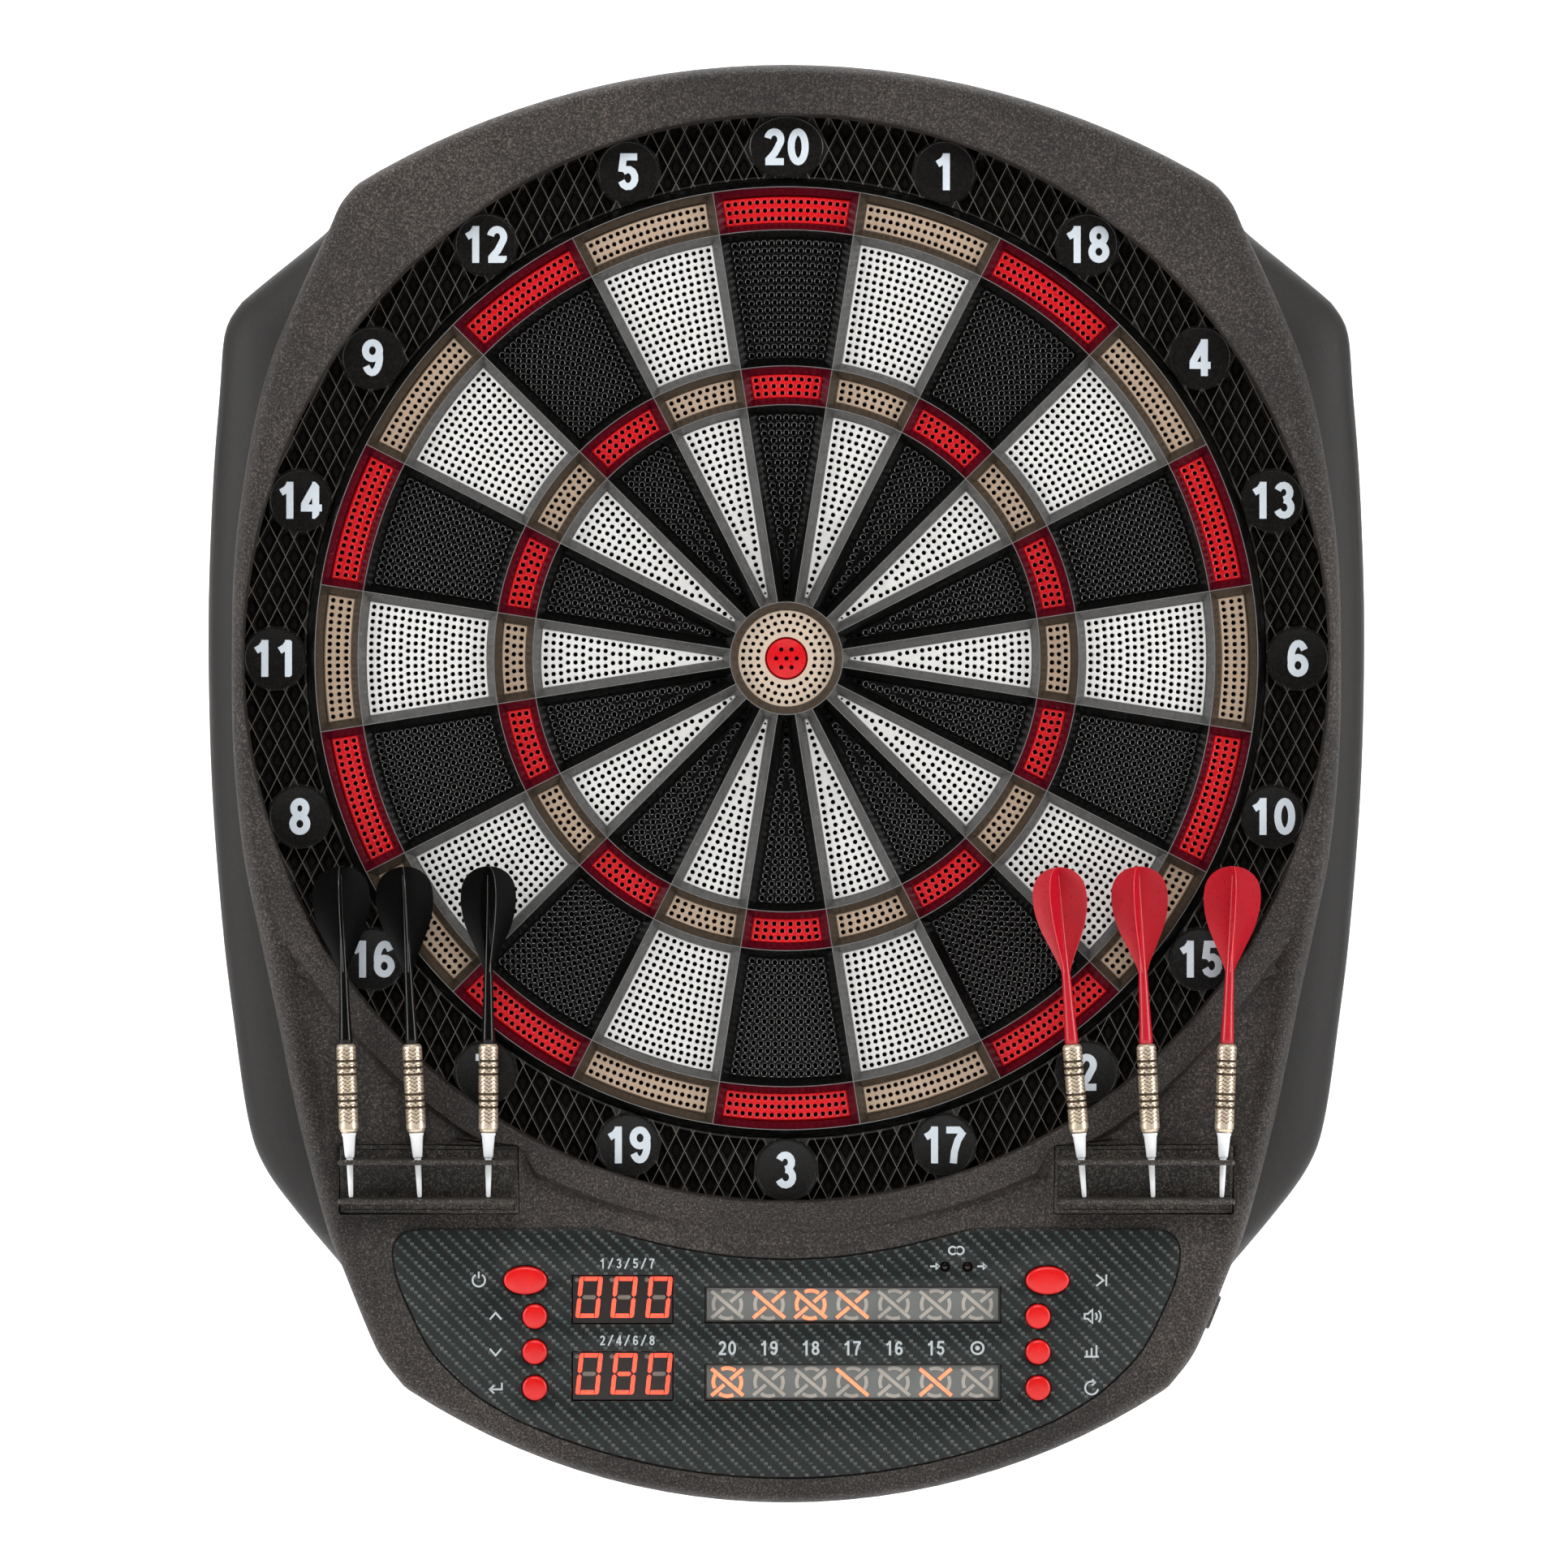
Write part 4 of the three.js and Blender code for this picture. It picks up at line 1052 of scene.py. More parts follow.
def build_bezel():
    """The front moulding: its shaped face, the round opening, and the seats for the fascia and holders."""
    outline = evened(bezel_outline(), 3.2)
    seats = seat_outlines()
    lip_angles = (0, 0.5, 1.05, math.pi / 2)
    opening = [circle(OPENING + LIP * (1 - math.cos(a)), OPENING_SIDES) for a in lip_angles]
    solid = Solid()
    solid.add(relief(outline, opening[-1], [seat[0] for seat in seats], relief_points(outline)))
    # lip of the opening, its wall and the step over the catch ring
    ledge = CATCH_TOP + 0.6
    tops = bezel_height(opening[-1], outline)
    points = raised([opening[0]], ledge)
    for loop, angle in zip(opening, lip_angles):
        points += [(x, y, top - LIP * (1 - math.sin(angle))) for (x, y), top in zip(loop, tops)]
    solid.add((points, walls(OPENING_SIDES, 5, inward=True)))
    collar = circle(OPENING + COLLAR, OPENING_SIDES)
    step = [collar, opening[0]]
    solid.add((raised(step, ledge), flipped(fill(step))))
    solid.add(wall(collar, BEZEL_BACK, ledge, inward=True))
    # seats: side walls and floors, the fascia's with a through hole
    for seat, floor, through in seats:
        solid.add((raised([seat], floor) + on_face(seat, outline), walls(len(seat), 2, inward=True)))
        loops = [seat] + ([inset(seat, through)] if through else [])
        solid.add((raised(loops, floor), fill(loops)))
        if through:
            solid.add(wall(loops[1], BEZEL_BACK, floor, inward=True))
    # outer skirt and the underside
    solid.add((raised([outline], BEZEL_BACK) + on_face(outline, outline), walls(len(outline), 2)))
    under = [outline, collar, inset(seats[0][0], FASCIA_LEDGE)]
    solid.add((raised(under, BEZEL_BACK), flipped(fill(under))))
    piece("bezel_shell", solid, ("bezel",), stands_for=("front_bezel",), smooth=38)


def on_face(loop, outline):
    """The points of a loop at the height of the bezel's face."""
    return [(x, y, level) for (x, y), level in zip(loop, bezel_height(loop, outline))]


def relief_points(outline):
    """Loose points that give the bezel's face its shape: close together where it bends."""
    loops = [keep_clear(evened(inset(outline, d), 3.6), outline, d * 0.9)
             for d in (0.25, 0.8, 1.7, 3, 4.6, 6.4, 8.6, 11.5)]
    loops += [circle(OPENING + d, OPENING_SIDES)
              for d in (2.6, 4.5, 6.5, 8.8, 10.6, 11.5, 12.1, 12.7, 13.3, 13.9, 15)]
    grid = [(x, y) for x in np.arange(-229, 230, 4.5) for y in np.arange(-340, 246, 4.5)
            if math.hypot(x, y) > OPENING + 17]
    return [p for loop in loops for p in loop] + keep_clear(grid, outline, 14)


def keep_clear(loop, outline, distance):
    """The points of a loop that are at least a distance inside the outline."""
    far = distance_to(loop, outline) >= distance
    return [p for p, ok in zip(loop, far & inside(loop, outline)) if ok]


def relief(outline, hole, seats, loose):
    """The bezel's face: triangles over the outline less its holes, with each point at the bezel's height."""
    loops = [outline, hole] + seats
    loose = np.array(loose, float)
    clear = inside(loose, outline) & (distance_to(loose, outline) > 0.2)
    for loop in [hole] + seats:
        clear &= ~inside(loose, loop) & (distance_to(loose, loop) > 1.0)
    fixed = [Vector(p[:2]) for loop in loops for p in loop]
    edges, first = [], 0
    for loop in loops:
        edges += [(first + i, first + (i + 1) % len(loop)) for i in range(len(loop))]
        first += len(loop)
    points, _, faces = delaunay_2d_cdt(fixed + [Vector(p) for p in loose[clear]], edges, [], 1, 1e-4)[:3]
    points = [tuple(p) for p in points]
    centres = [tuple(np.mean([points[i] for i in face], axis=0)) for face in faces]
    keep = inside(centres, outline)
    for loop in [hole] + seats:
        keep &= ~inside(centres, loop)
    return on_face(points, outline), [tuple(face) for face, stays in zip(faces, keep) if stays]


# ---------------------------------------------------------------- rear housing

TUB_WALL = 3.2
KEYHOLE_X, KEYHOLE_Y = 130, 140
SLOTS_MIDDLE = (62, -284)
SLOT_SIZE = (2.6, 30)
SLOT_PITCH = 7
POST = 4.8  # radius of a screw's post
WELL, WELL_DEPTH = 3.9, 4
SCREW_HOLE = 1.8
SCREW_PLACES = [(side * x, y) for x, y in ((170, 176), (178, -196), (90, -328)) for side in (1, -1)]


def silhouette():
    """The housing's outline: the bezel's, swollen to the wings at each side."""
    bezel = bezel_outline()
    wing = wing_outline()
    wing = [p for p, hidden in zip(wing, inside(wing, bezel)) if not hidden]
    right = bezel[:bezel.index(min(bezel, key=lambda p: (abs(p[0]), -p[1]))) + 1]
    below = [p for p in right if p[1] < wing[0][1] - 1]
    above = [p for p in right if p[1] > wing[-1][1] + 1]
    return mirrored(below + wing + above)


def build_rear_housing():
    """The rear tub: wings that slope in to the bezel, keyholes, sound slots and screw wells."""
    outline = evened(silhouette(), 4)
    # each outline point is joined to its nearest partner on the bezel
    partners = np.array(evened(bezel_outline(), 4))
    base = [tuple(partners[np.argmin(((partners - point) ** 2).sum(1))]) for point in outline]

    def between(share):
        return [(a[0] + (b[0] - a[0]) * share, a[1] + (b[1] - a[1]) * share) for a, b in zip(outline, base)]

    rows = [(inset(outline, distance), level)
            for distance, level in ((3.8, 0), (2.4, 0.3), (1.1, 1.4), (0.3, 3.4))]
    rows += [(between(share), level)
             for share, level in ((0, 7.5), (0, 12), (0.05, 15), (0.16, 18.5), (0.34, 21.6), (0.55, 24.2),
                                  (0.78, 26.4), (1, DECK))]
    solid = Solid()
    points = [(x, y, level) for loop, level in rows for x, y in loop]
    solid.add((points, walls(len(outline), len(rows))))
    # the tub's inside: a rim, a wall and a floor, pierced for the fixings and the speaker
    cavity = evened(inset(rows[-1][0], TUB_WALL), 5)
    rim = [list(dict.fromkeys(rows[-1][0])), cavity]
    solid.add((raised(rim, DECK), fill(rim)))
    openings = [keyhole(side * KEYHOLE_X, KEYHOLE_Y) for side in (-1, 1)]
    openings += [rectangle(*SLOT_SIZE, SLOTS_MIDDLE[0] + (i - 2) * SLOT_PITCH, SLOTS_MIDDLE[1], 1.25, 3)
                 for i in range(5)]
    for loop, foot, top in [(cavity, BACK_SKIN, DECK)] + [(loop, 0, BACK_SKIN) for loop in openings]:
        solid.add(wall(loop, foot, top, inward=True))
    back, floor = [rows[0][0]] + openings, [cavity] + openings
    for x, y in SCREW_PLACES:
        well = [(POST, BACK_SKIN), (POST, DECK), (SCREW_HOLE, DECK), (SCREW_HOLE, WELL_DEPTH),
                (WELL, WELL_DEPTH), (WELL, 0)]
        solid.add(lathe(well, 20, x, y))
        back.append(circle(WELL, 20, x, y))
        floor.append(circle(POST, 20, x, y))
    solid.add((raised(back, 0), flipped(fill(back))))
    solid.add((raised(floor, BACK_SKIN), fill(floor)))
    piece("housing_tub", solid, ("housing",), stands_for=("rear_housing",), smooth=35)


def keyhole(x, y):
    """A round hole with a narrow slot above it."""
    head, slot, top = 4.5, 2.2, 11
    gap = math.asin(slot / head) / DEG
    bulb = arc(x, y, head, head, 90 + gap, 450 - gap, 16)
    neck = arc(x, y + top, slot, slot, 0, 180, 6)
    return bulb + neck


# ---------------------------------------------------------------- drawn digits and marks

DIGIT_WIDTH = 0.58  # of its height
DIGIT_STROKES = {
    "0": [arc(0.29, 0.5, 0.19, 0.405, 0, 360, 24)],
    "1": [[(0.34, 0), (0.34, 1)], [(0.34, 0.93), (0.25, 0.8), (0.1, 0.71)]],
    "2": [arc(0.28, 0.7, 0.18, 0.205, 170, -25) + [(0.3, 0.34), (0.12, 0.13)],
          [(0.04, 0.095), (0.54, 0.095)]],
    "3": [arc(0.26, 0.71, 0.17, 0.195, 160, -90), arc(0.27, 0.305, 0.19, 0.21, 90, -160)],
    "4": [[(0.4, 0), (0.4, 1)], [(0.4, 0.93), (0.08, 0.36)], [(0, 0.29), (0.57, 0.29)]],
    "5": [[(0.53, 0.905), (0.16, 0.905), (0.11, 0.5)], arc(0.28, 0.33, 0.19, 0.235, 135, -160)],
    "6": [arc(0.29, 0.31, 0.19, 0.215, 0, 360, 20), arc(0.3, 0.5, 0.2, 0.405, 35, 205)],
    "7": [[(0.02, 0.905), (0.53, 0.905)], [(0.48, 0.87), (0.33, 0.62), (0.24, 0.32), (0.21, 0)]],
    "8": [arc(0.29, 0.72, 0.165, 0.185, 0, 360, 20), arc(0.29, 0.3, 0.19, 0.205, 0, 360, 20)],
    "9": [arc(0.29, 0.69, 0.19, 0.215, 0, 360, 20), arc(0.28, 0.5, 0.2, 0.405, -145, 25)],
    "/": [[(0.02, -0.04), (0.5, 1.04)]],
}


def stroke(points, width, level, thick):
    """A flat ribbon along a line of points, square at its ends."""
    line = np.array(points, float)
    step = np.diff(line, axis=0)
    step /= np.maximum(np.hypot(step[:, 0], step[:, 1]), 1e-9)[:, None]
    closed = np.hypot(*(line[0] - line[-1])) < 1e-6
    before = np.vstack([step[-1:] if closed else step[:1], step])
    after = np.vstack([step, step[:1] if closed else step[-1:]])
    along = before + after
    along /= np.maximum(np.hypot(along[:, 0], along[:, 1]), 1e-9)[:, None]
    reach = 1 / np.maximum(0.5, (along * before).sum(1))
    side = np.stack([-along[:, 1], along[:, 0]], 1) * (reach * width / 2)[:, None]
    left, right = line + side, line - side
    count = len(line)
    made = [(x, y, z) for z in (level, level + thick) for rail in (left, right) for x, y in rail]
    faces = []
    for i in range(count - 1):
        a, b = i, i + 1
        faces += [(2 * count + a, 3 * count + a, 3 * count + b, 2 * count + b),
                  (a, b, count + b, count + a),
                  (a, 2 * count + a, 2 * count + b, b),
                  (count + a, count + b, 3 * count + b, 3 * count + a)]
    if not closed:
        faces += [(0, count, 3 * count, 2 * count),
                  (count - 1, 3 * count - 1, 4 * count - 1, 2 * count - 1)[::-1]]
    return made, flipped(faces)


def digits_form(text, height, x, y, level, width=0.2, thick=0.12, pitch=0.63, slim=1.0):
    """Plain sans-serif digits centred on x, y. width is the stroke's, as a share of the height."""
    forms = []
    total = (pitch * (len(text) - 1) + DIGIT_WIDTH) * slim
    for place, mark in enumerate(text):
        left = (place * pitch * slim - total / 2) * height
        for number, line in enumerate(DIGIT_STROKES[mark]):
            placed = [(x + left + px * slim * height, y + (py - 0.5) * height) for px, py in line]
            # strokes that cross differ a little in thickness, so their faces never coincide
            forms.append(stroke(placed, width * height, level, thick * (1 + 0.15 * number)))
    return forms


def build_digits():
    """The sector numbers on their discs."""
    solid = Solid()
    for number, (x, y) in zip(NUMBERS, disc_places()):
        for form in digits_form(str(number), 15.4, x, y, DISC_TOP - 0.72, 0.19, thick=0.3, pitch=0.64):
            solid.add(form)
    piece("number_digits", solid, ("digit",), smooth=0)


# ---------------------------------------------------------------- panel

def window_loop(name, grow, corner=0.4):
    """A rectangle a little larger than a display's outline, or smaller if grow is negative."""
    low, high = node_box(name)
    x, y, _ = middle(name)
    return rectangle(high[0] - low[0] + 2 * grow, high[1] - low[1] + 2 * grow, x, y, corner, 3)


BUTTONS = ["on_off", "up", "down", "enter", "next", "sound", "handicap", "miss_reset"]
DISPLAYS = ["score_display_upper", "score_display_lower", "cricket_display_upper", "cricket_display_lower"]
BUTTON_FLANGE = 1.4  # how far a button's foot reaches past its cap, under the fascia
BUTTON_STEM = 2.4
LAMPS = [(66, -253.4), (75.4, -253.4)]
LAMP_RADIUS = 2.2


def button_half(name):
    low, high = node_box(f"button_{name}")
    return (high[0] - low[0]) / 2 - BUTTON_FLANGE, (high[1] - low[1]) / 2 - BUTTON_FLANGE


def build_fascia():
    """The printed panel, with openings for the displays, the buttons and the two lamps."""
    outline = evened(fascia_outline(), 2.2)
    holes = [window_loop(name, -0.15) for name in DISPLAYS]
    for name in BUTTONS:
        x, y, _ = middle(f"button_{name}")
        half_x, half_y = button_half(name)
        holes.append(oval(half_x + 0.4, half_y + 0.4, 40, x, y))
    holes += [circle(LAMP_RADIUS, 24, x, y) for x, y in LAMPS]
    edge = 0.3
    profile = [(0, FASCIA_BACK), (0, FASCIA_FRONT - edge), (edge * 0.3, FASCIA_FRONT - edge * 0.3),
               (edge, FASCIA_FRONT)]
    solid = Solid().add(sheet(outline, holes, profile))
    piece("fascia_plate", solid, ("twill",), stands_for=("fascia",), smooth=30)


def build_lamps():
    """The two small round indicators, unlit, deep in their holes."""
    solid = Solid()
    foot, shoulder, dome = FASCIA_BACK - 1.6, FASCIA_BACK - 0.1, FASCIA_BACK + 0.6
    for x, y in LAMPS:
        solid.add(lathe([(0, foot), (LAMP_RADIUS + 0.6, foot), (LAMP_RADIUS + 0.6, shoulder),
                         (LAMP_RADIUS - 0.3, shoulder), (1.3, dome - 0.25), (0, dome)], 24, x, y))
    piece("indicator_lamps", solid, ("score_face",), smooth=40)


SEGMENTS = "abcdefg"
SEGMENTS_OF = {"0": "abcdef", "8": "abcdefg"}


def segment_form(which, x, y, level):
    """One bar of a seven-segment digit whose middle is x, y."""
    half_w, half_h, t, gap, slant = 4.0, 7.7, 0.875, 0.22, 0.105  # t is half the bar's width
    inner, top = half_w - t - gap, half_h + t
    flat = [(-inner, 0), (-half_w + 2 * t, t), (half_w - 2 * t, t), (inner, 0), (half_w - 2 * t, -t),
            (-half_w + 2 * t, -t)]
    end = [(-inner, t), (inner, t), (inner - 0.25, -t), (-inner + 0.25, -t)]
    tall = [(0, gap), (t, gap + 0.8), (t, top), (-t + 0.9, top), (-t + 0.2, top - 0.35), (-t, top - 1.1),
            (-t, gap + 0.8)]
    shapes = {
        "a": [(px, half_h + py) for px, py in end],
        "d": [(px, -half_h - py) for px, py in end],
        "g": flat,
        "f": [(-half_w + px, py) for px, py in tall],
        "b": [(half_w - px, py) for px, py in tall],
        "e": [(-half_w + px, -py) for px, py in tall],
        "c": [(half_w - px, -py) for px, py in tall],
    }
    outline = [(x + px + slant * py, y + py) for px, py in shapes[which]]
    if area_of(outline) < 0:
        outline = outline[::-1]
    return stack([(outline, level), (outline, level + 0.1)], low_cap=False)


def display_body(name, drop):
    """A display's block: wide under the fascia, narrower in its window, its face a drop below the CAD's."""
    low, high = node_box(name)
    body, cap = window_loop(name, 0, 0.3), window_loop(name, -0.45, 0.3)
    foot = FASCIA_BACK - 0.35
    return stack([(body, low[2]), (body, foot - 0.4), (inset(body, 0.45), foot),
                  (cap, high[2] - 0.25), (inset(cap, 0.2), high[2] - drop)])


DIGIT_PITCH = 14.55


def build_score_display(which, number):
    """A three-digit display: dark face, lit and unlit bars and an unlit dot beside each digit."""
    name = f"score_display_{which}"
    low, high = node_box(name)
    top = high[2]
    solid = Solid().add(display_body(name, 0.1))
    middle_y = (low[1] + high[1]) / 2 + 0.85
    for place, figure in enumerate(number):
        x = low[0] + 7.4 + place * DIGIT_PITCH
        for bar in SEGMENTS:
            is_on = bar in SEGMENTS_OF[figure]
            solid.add(segment_form(bar, x, middle_y, top - 0.12), look=1 if is_on else 2)
        dot = circle(0.95, 16, x - 5.1, middle_y + 7.3)
        solid.add(stack([(dot, top - 0.12), (dot, top - 0.02)], low_cap=False), look=2)
    piece(name + "_window", solid, ("score_face", "segment_on", "segment_off"), stands_for=(name,),
          smooth=0)


MARK_PITCH = 17.35
MARK_FIRST = -24.6
MARK_RADIUS = 5.85
MARK_STROKE = 1.45
FACE_BORDER = 1.25  # of dark plastic round the marks' grey face


def mark_forms(x, y, level):
    """A mark's parts: a ring in four arcs, the long stroke, and the crossing stroke in two halves."""
    dx, dy, near = 6.6, 5.6, 0.2
    lines = {
        "ring": [arc(x, y, MARK_RADIUS, MARK_RADIUS, start, start + 60, 8) for start in (55, 145, 235, 325)],
        "long": [[(x - dx, y + dy), (x + dx, y - dy)]],
        "cross": [[(x + s * dx * near, y + s * dy * near), (x + s * dx, y + s * dy)] for s in (1, -1)],
    }
    return {part: [stroke(line, MARK_STROKE, level, 0.1) for line in group] for part, group in lines.items()}


def build_cricket_display(which, lit_marks):
    """The marks panel: grey face with seven marks; lit_marks gives the lit parts by place."""
    name = f"cricket_display_{which}"
    low, high = node_box(name)
    top = high[2]
    x, y, _ = middle(name)
    solid = Solid().add(display_body(name, 0.3), look=3)
    width, height = high[0] - low[0], high[1] - low[1]
    face = rectangle(width - 2 * FACE_BORDER, height - 2 * FACE_BORDER, x - 0.2, y + 0.2)
    solid.add(stack([(face, top - 0.32), (face, top - 0.12)], low_cap=False))
    for place in range(7):
        forms = mark_forms(MARK_FIRST + place * MARK_PITCH, y, top - 0.12)
        for part, made in forms.items():
            for form in made:
                solid.add(form, look=1 if part in lit_marks.get(place, ()) else 2)
    looks = ("mark_face", "mark_on", "mark_off", "score_face")
    piece(name + "_window", solid, looks, stands_for=(name,), smooth=0)


def build_print():
    """Everything printed on the panel: plain numbers and simple icons, as a thin raised film."""
    solid = Solid()
    level, film = FASCIA_FRONT + 0.01, 0.05
    row_y = -287.2
    for place, number in enumerate(("20", "19", "18", "17", "16", "15")):
        x = MARK_FIRST + place * MARK_PITCH
        for form in digits_form(number, 6.1, x, row_y, level, 0.15, film, pitch=0.66):
            solid.add(form)
    bull_x = MARK_FIRST + 6 * MARK_PITCH
    solid.add(stroke(arc(bull_x, row_y, 2.5, 2.5, 0, 360, 24), 0.85, level, film))
    dot = circle(0.95, 16, bull_x, row_y)
    solid.add(stack([(dot, level), (dot, level + film)]))
    for text, y in (("1/3/5/7", -252), ("2/4/6/8", -284)):
        for form in digits_form(text, 4.2, -66.2, y, level, 0.15, film, pitch=0.86, slim=0.95):
            solid.add(form)
    for form in icons(level, film):
        solid.add(form)
    piece("panel_print", solid, ("print",), smooth=0)


def icons(level, film):
    """A plain icon beside each button and beside the indicators."""
    line = 0.75
    forms = []

    def draw(x, y, *lines):
        for points in lines:
            forms.append(stroke([(x + px, y + py) for px, py in points], line, level, film))

    left, right = -124.5, 130.5
    ys = [-259, -274, -288.8, -303.8]
    draw(left - 3.5, ys[0], arc(0, 0, 2.6, 2.6, 120, 420, 20), [(0, 0.8), (0, 3.6)])
    draw(left + 3.5, ys[1], [(-2.4, -1.3), (0, 1.5), (2.4, -1.3)])
    draw(left + 3.5, ys[2], [(-2.4, 1.3), (0, -1.5), (2.4, 1.3)])
    draw(left + 3.5, ys[3], [(2.6, 2.2), (2.6, -0.6), (-2.2, -0.6)],
         [(-0.6, 1.1), (-2.4, -0.6), (-0.6, -2.3)])
    draw(right, ys[0], [(-1.6, 2.4), (1.4, 0), (-1.6, -2.4)], [(2.6, 2.4), (2.6, -2.4)])
    draw(right - 3.5, ys[1],
         [(-2.9, -1), (-1.6, -1), (0.3, -2.7), (0.3, 2.7), (-1.6, 1), (-2.9, 1), (-2.9, -1)],
         arc(0.6, 0, 1.6, 1.9, -50, 50, 6), arc(0.6, 0, 3.2, 3.4, -45, 45, 8))
    draw(right - 3.5, ys[2], [(-3, -2), (3, -2)], [(-2, 0.6), (-2, -1.6)], [(0, 1.6), (0, -1.6)],
         [(2, 2.8), (2, -1.6)])
    draw(right - 3.5, ys[3], arc(0, 0, 2.7, 2.7, 60, 350, 18), [(0.2, 3.6), (1.5, 2.3), (0.1, 1)])
    draw(62.2, LAMPS[0][1] + 0.2, [(-2.4, 0), (1.2, 0)], [(-0.1, 1.2), (1.2, 0), (-0.1, -1.2)])
    draw(81, LAMPS[0][1] + 0.2, [(-1.6, 0), (2.0, 0)], [(0.7, 1.2), (2.0, 0), (0.7, -1.2)])
    draw(70.7, -246.6, arc(-1.5, 0, 1.6, 1.6, 0, 360, 16), arc(1.5, 0, 1.6, 1.6, 0, 360, 16))
    return forms


def build_buttons():
    """Low domed caps with a rounded shoulder; the foot runs under the fascia."""
    for name in BUTTONS:
        cad = f"button_{name}"
        low, high = node_box(cad)
        x, y, _ = middle(cad)
        half_x, half_y = button_half(name)
        top = high[2]
        under, over = low[2] + 6.6, low[2] + 7.9  # the flange's two faces
        # from the flange over the shoulder: what is added to the half widths, and the level
        rows = [(BUTTON_FLANGE, under), (BUTTON_FLANGE, over), (0, over), (0, top - 1.3),
                (-0.16, top - 0.75), (-0.55, top - 0.36), (-1.1, top - 0.2)]
        rows = [(half_x + grow, half_y + grow, level) for grow, level in rows]
        rows += [(half_x * 0.55, half_y * 0.55, top - 0.05), (half_x * 0.2, half_y * 0.2, top)]
        solid = Solid()
        solid.add(stack([(oval(a, b, 44, x, y), level) for a, b, level in rows]))
        solid.add(stack([(circle(BUTTON_STEM, 20, x, y), level) for level in (low[2], under)]))
        piece(cad + "_cap", solid, ("button",), body=cad + "_body", stands_for=(cad,),
              smooth=50)


# ---------------------------------------------------------------- dart holders

def build_holder(side):
    """A back plate with two thin shelves, the upper one pierced for the darts' points."""
    cad = f"dart_holder_{side}"
    low, high = node_box(cad)
    x, y, _ = middle(cad)
    width, height = high[0] - low[0], high[1] - low[1]
    base, plate = low[2], low[2] + 2.2
    rows = [(0, base), (0, plate - 0.3), (0.3, plate), (1.5, plate), (1.8, plate - 0.45)]
    solid = Solid()
    solid.add(stack([(rectangle(width - 2 * d, height - 2 * d, x, y, max(0.1, 0.9 - d), 3), level)
                     for d, level in rows]))
    for shelf_y, pierced in ((y + 7.9, True), (y - 8.3, False)):
        places = [foot_place(side, i, shelf_y) for i in range(3)] if pierced else []
        solid.add(shelf(x, shelf_y, width, plate - 0.6, high[2], places))
    piece(cad + "_shelf", solid, ("holder",), stands_for=(cad,), smooth=35)


def lean_of(side):
    """The lean of each dart, in radians to the right, from the axis it lifts along."""
    leans = []
    for joint in frame["joints"]:
        if joint["name"].startswith(f"lift_dart_{side}"):
            leans.append(math.atan2(joint["axis"][0], joint["axis"][2]))
    return leans


SHELF_HOLE = 2.9
DART_XS = {"left": (-180.7, -152.2, -123.7), "right": (123.7, 152.2, 180.7)}
DART_FOOT = node_box("dart_left_1")[0][1]
DART_LEVEL = middle("dart_left_1")[2]


def foot_place(side, index, y):
    """Where a dart's axis crosses a height, as x."""
    return DART_XS[side][index] + math.tan(lean_of(side)[index]) * (y - DART_FOOT)


def shelf(x, y, width, back, front, places):
    """A thin shelf standing out from the plate, with a hole at each place and a rounded front edge."""
    half, edge = 1.0, 0.5  # half the thickness, and the rounding of the edges
    side, corner = width / 2 - 0.2, width / 2 - 1.0
    plan = [(x - side, back), (x + side, back), (x + side, front - 1.2), (x + corner, front),
            (x - corner, front), (x - side, front - 1.2)]
    holes = [circle(SHELF_HOLE, 16, place, DART_LEVEL) for place in places]
    points, faces = sheet(plan, holes, [(edge, -half), (0, edge - half), (0, half - edge), (edge, half)])
    # the plan's second coordinate is the level and its height runs up the board
    return [(px, y + h, level) for px, level, h in points], flipped(faces)


# ---------------------------------------------------------------- darts

def dart_place(side, index):
    """A function that moves a form whose level runs up the dart to its place, leaning about its foot."""
    lean = lean_of(side)[index]
    x0 = DART_XS[side][index]
    c, s = math.cos(lean), math.sin(lean)

    def place(form):
        points, faces = form
        placed = [(x0 + px * c + up * s, DART_FOOT - px * s + up * c, DART_LEVEL - py)
                  for px, py, up in points]
        return placed, faces

    return place


def knurled_barrel():
    """A barrel with two groups of three grooves and a knurl of raised diamonds: points, faces and looks."""
    start, end, radius, sides = 27.0, 64.0, 4.1, 24
    grooves = [start + d for d in (10.5, 13.2, 15.9, 24.5, 27.2, 29.9)]
    # each ring is (radii, level, whether it lies in a groove)
    rings = [([r] * sides, up, False) for r, up in ((3.0, start), (3.5, start + 0.6), (3.75, start + 1.6))]
    level, row = start + 1.8, 0
    while level < end - 1.6:
        sunk = any(abs(level - groove) < 0.3 for groove in grooves)
        radii = [radius - (0.6 if sunk else 0.3 if (i + row) % 2 else 0) for i in range(sides)]
        rings.append((radii, level, sunk))
        level += 0.55
        row += 1
    rings += [([r] * sides, up, False) for r, up in ((3.9, end - 1.2), (3.3, end - 0.3), (2.2, end))]
    points = [(r * math.cos(TURN * i / sides), r * math.sin(TURN * i / sides), up)
              for radii, up, _ in rings for i, r in enumerate(radii)]
    looks = []
    for number, (below, above) in enumerate(zip(rings, rings[1:])):
        for i in range(sides):
            fold = min(i % 4, 4 - i % 4)
            knurled = 6 < number < len(rings) - 5 and (number + fold) % 3 == 0
            # groove faces take look 1 and knurl faces look 2, darker metals painted as shade
            looks.append(1 if below[2] or above[2] else 2 if knurled else 0)
    caps = [tuple(range(sides))[::-1], tuple(range(len(points) - sides, len(points)))]
    return points, walls(sides, len(rings)) + caps, looks + [0, 0]


